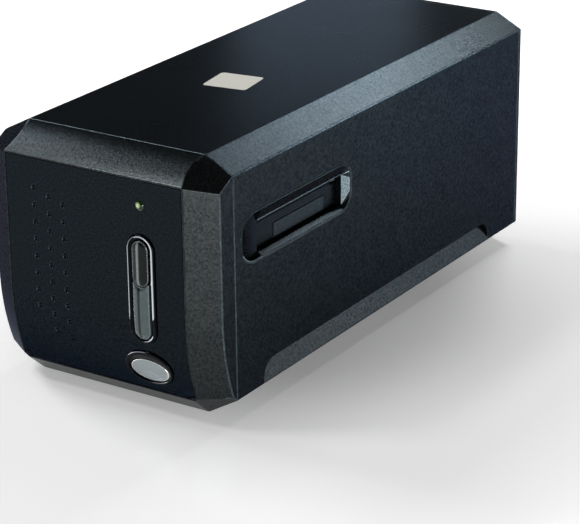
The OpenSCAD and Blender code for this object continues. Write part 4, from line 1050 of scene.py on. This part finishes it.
class SCANNER_OT_stage(bpy.types.Operator):
    """Sets up the floor, lamps, world and camera"""
    bl_idname = "scanner.stage"
    bl_label = "Stage"

    def execute(self, context):
        scene = context.scene
        stage = scene.scanner_stage
        bm = bmesh.new()
        bmesh.ops.create_grid(bm, x_segments=8, y_segments=8, size=FLOOR_HALF)
        floor = solid("floor", bm, floor_finish(stage))

        for name, place_at, size, power in LAMPS:
            area_lamp(name, place_at, LAMP_AIM, size, stage.lamp_power * power)
        # A small hooded strip that only the glossy rings catch
        rings = bpy.data.collections.new("glossy_rings")
        for name in ("scan_ring_bead", "power_ring_bead"):
            rings.objects.link(bpy.data.objects[name])
        strip = area_lamp("strip_rings", (-0.066, -0.192, 0.017), (SCAN_X, FRONT_Y, 0.06),
                          (0.09, 0.055), stage.lamp_power * 0.6)
        strip.light_linking.receiver_collection = rings
        scene.world = world_light(stage.world_low, stage.world_high)

        camera = bpy.data.cameras.new("camera")
        camera.sensor_width = CAMERA_SENSOR
        camera.lens = CAMERA_LENS
        camera.clip_end = 20
        scene.camera = placed("camera", camera)
        scene.camera.matrix_world = camera_matrix()
        scene.view_settings.view_transform = "Standard"
        return {"FINISHED"}


# ---- Add-on ----

class ScannerLooks(bpy.types.PropertyGroup):
    edge_radius: FloatProperty(
        name="Edge radius", description="Rounding of the casing's outer edges",
        default=0.5 * MM, min=0.1 * MM, max=1.0 * MM, subtype="DISTANCE", unit="LENGTH")
    panel_radius: FloatProperty(
        name="Panel edge radius", description="Rounding of the front panel's edges and dimples",
        default=0.2 * MM, min=0.05 * MM, max=0.3 * MM, subtype="DISTANCE", unit="LENGTH")
    casing_colour: FloatVectorProperty(
        name="Casing colour", description="Housing, cover, bezel and rear panel",
        default=linear("#323637")[:3], min=0, max=1, size=3, subtype="COLOR")
    casing_rough: FloatProperty(
        name="Casing roughness", description="How far the casing spreads its reflections",
        default=0.28, min=0, max=1, subtype="FACTOR")
    # Paler colour painted on the rounded edges of the casing and slots, as a highlight
    edge_highlight_colour: FloatVectorProperty(
        name="Edge colour", description="Burnished edges of the casing and slots",
        default=linear("#525d62")[:3], min=0, max=1, size=3, subtype="COLOR")
    panel_colour: FloatVectorProperty(
        name="Panel colour", description="Inset front panel",
        default=linear("#1d2226")[:3], min=0, max=1, size=3, subtype="COLOR")
    panel_rough: FloatProperty(
        name="Panel roughness", description="How far the front panel spreads its reflections",
        default=0.25, min=0, max=1, subtype="FACTOR")
    trim_colour: FloatVectorProperty(
        name="Slot colour", description="Slot frames, dust doors and film gate",
        default=linear("#303435")[:3], min=0, max=1, size=3, subtype="COLOR")


class ScannerStage(bpy.types.PropertyGroup):
    floor_colour: FloatVectorProperty(
        name="Floor colour", description="Sheet that the scanner stands on",
        default=linear("#f8f8f8")[:3], min=0, max=1, size=3, subtype="COLOR")
    # Kept lowest, so the floor next to the scanner is darker: painted shade
    floor_lift: FloatProperty(
        name="Near floor lift", description="Added brightness of the floor round the scanner",
        default=0.2, min=0, max=1)
    mid_lift: FloatProperty(
        name="Middle floor lift", description="Added brightness of the floor a hand's width off",
        default=0.43, min=0, max=1)
    far_lift: FloatProperty(
        name="Far floor lift", description="Added brightness of the floor further off",
        default=0.6, min=0, max=1)
    world_low: FloatProperty(
        name="Wall light", description="Light from the room's pale walls",
        default=0.9, min=0, max=3)
    world_high: FloatProperty(
        name="Ceiling light", description="Light from the room's dim ceiling",
        default=0.03, min=0, max=3)
    lamp_power: FloatProperty(
        name="Lamps", description="Power of all lamps together, against their set level",
        default=1, min=0, max=10, subtype="FACTOR")


STEPS = (SCANNER_OT_casing, SCANNER_OT_slots, SCANNER_OT_scan_buttons, SCANNER_OT_power_button,
         SCANNER_OT_indicator, SCANNER_OT_label, SCANNER_OT_inside, SCANNER_OT_stage)


class SCANNER_PT_build(bpy.types.Panel):
    bl_idname = "SCANNER_PT_build"
    bl_label = "Film scanner"
    bl_space_type = "VIEW_3D"
    bl_region_type = "UI"
    bl_category = "Film scanner"

    def draw(self, context):
        for group in (context.scene.scanner_looks, context.scene.scanner_stage):
            box = self.layout.box()
            for name in group.__annotations__:
                box.prop(group, name)
        for step in STEPS:
            self.layout.operator(step.bl_idname)


CLASSES = (ScannerLooks, ScannerStage) + STEPS + (SCANNER_PT_build,)


def register():
    for cls in CLASSES:
        bpy.utils.register_class(cls)
    bpy.types.Scene.scanner_looks = PointerProperty(type=ScannerLooks)
    bpy.types.Scene.scanner_stage = PointerProperty(type=ScannerStage)


def unregister():
    del bpy.types.Scene.scanner_stage
    del bpy.types.Scene.scanner_looks
    for cls in reversed(CLASSES):
        bpy.utils.unregister_class(cls)


def main():
    register()
    for step in STEPS:
        group, name = step.bl_idname.split(".")
        getattr(getattr(bpy.ops, group), name)()


if __name__ == "__main__":
    main()
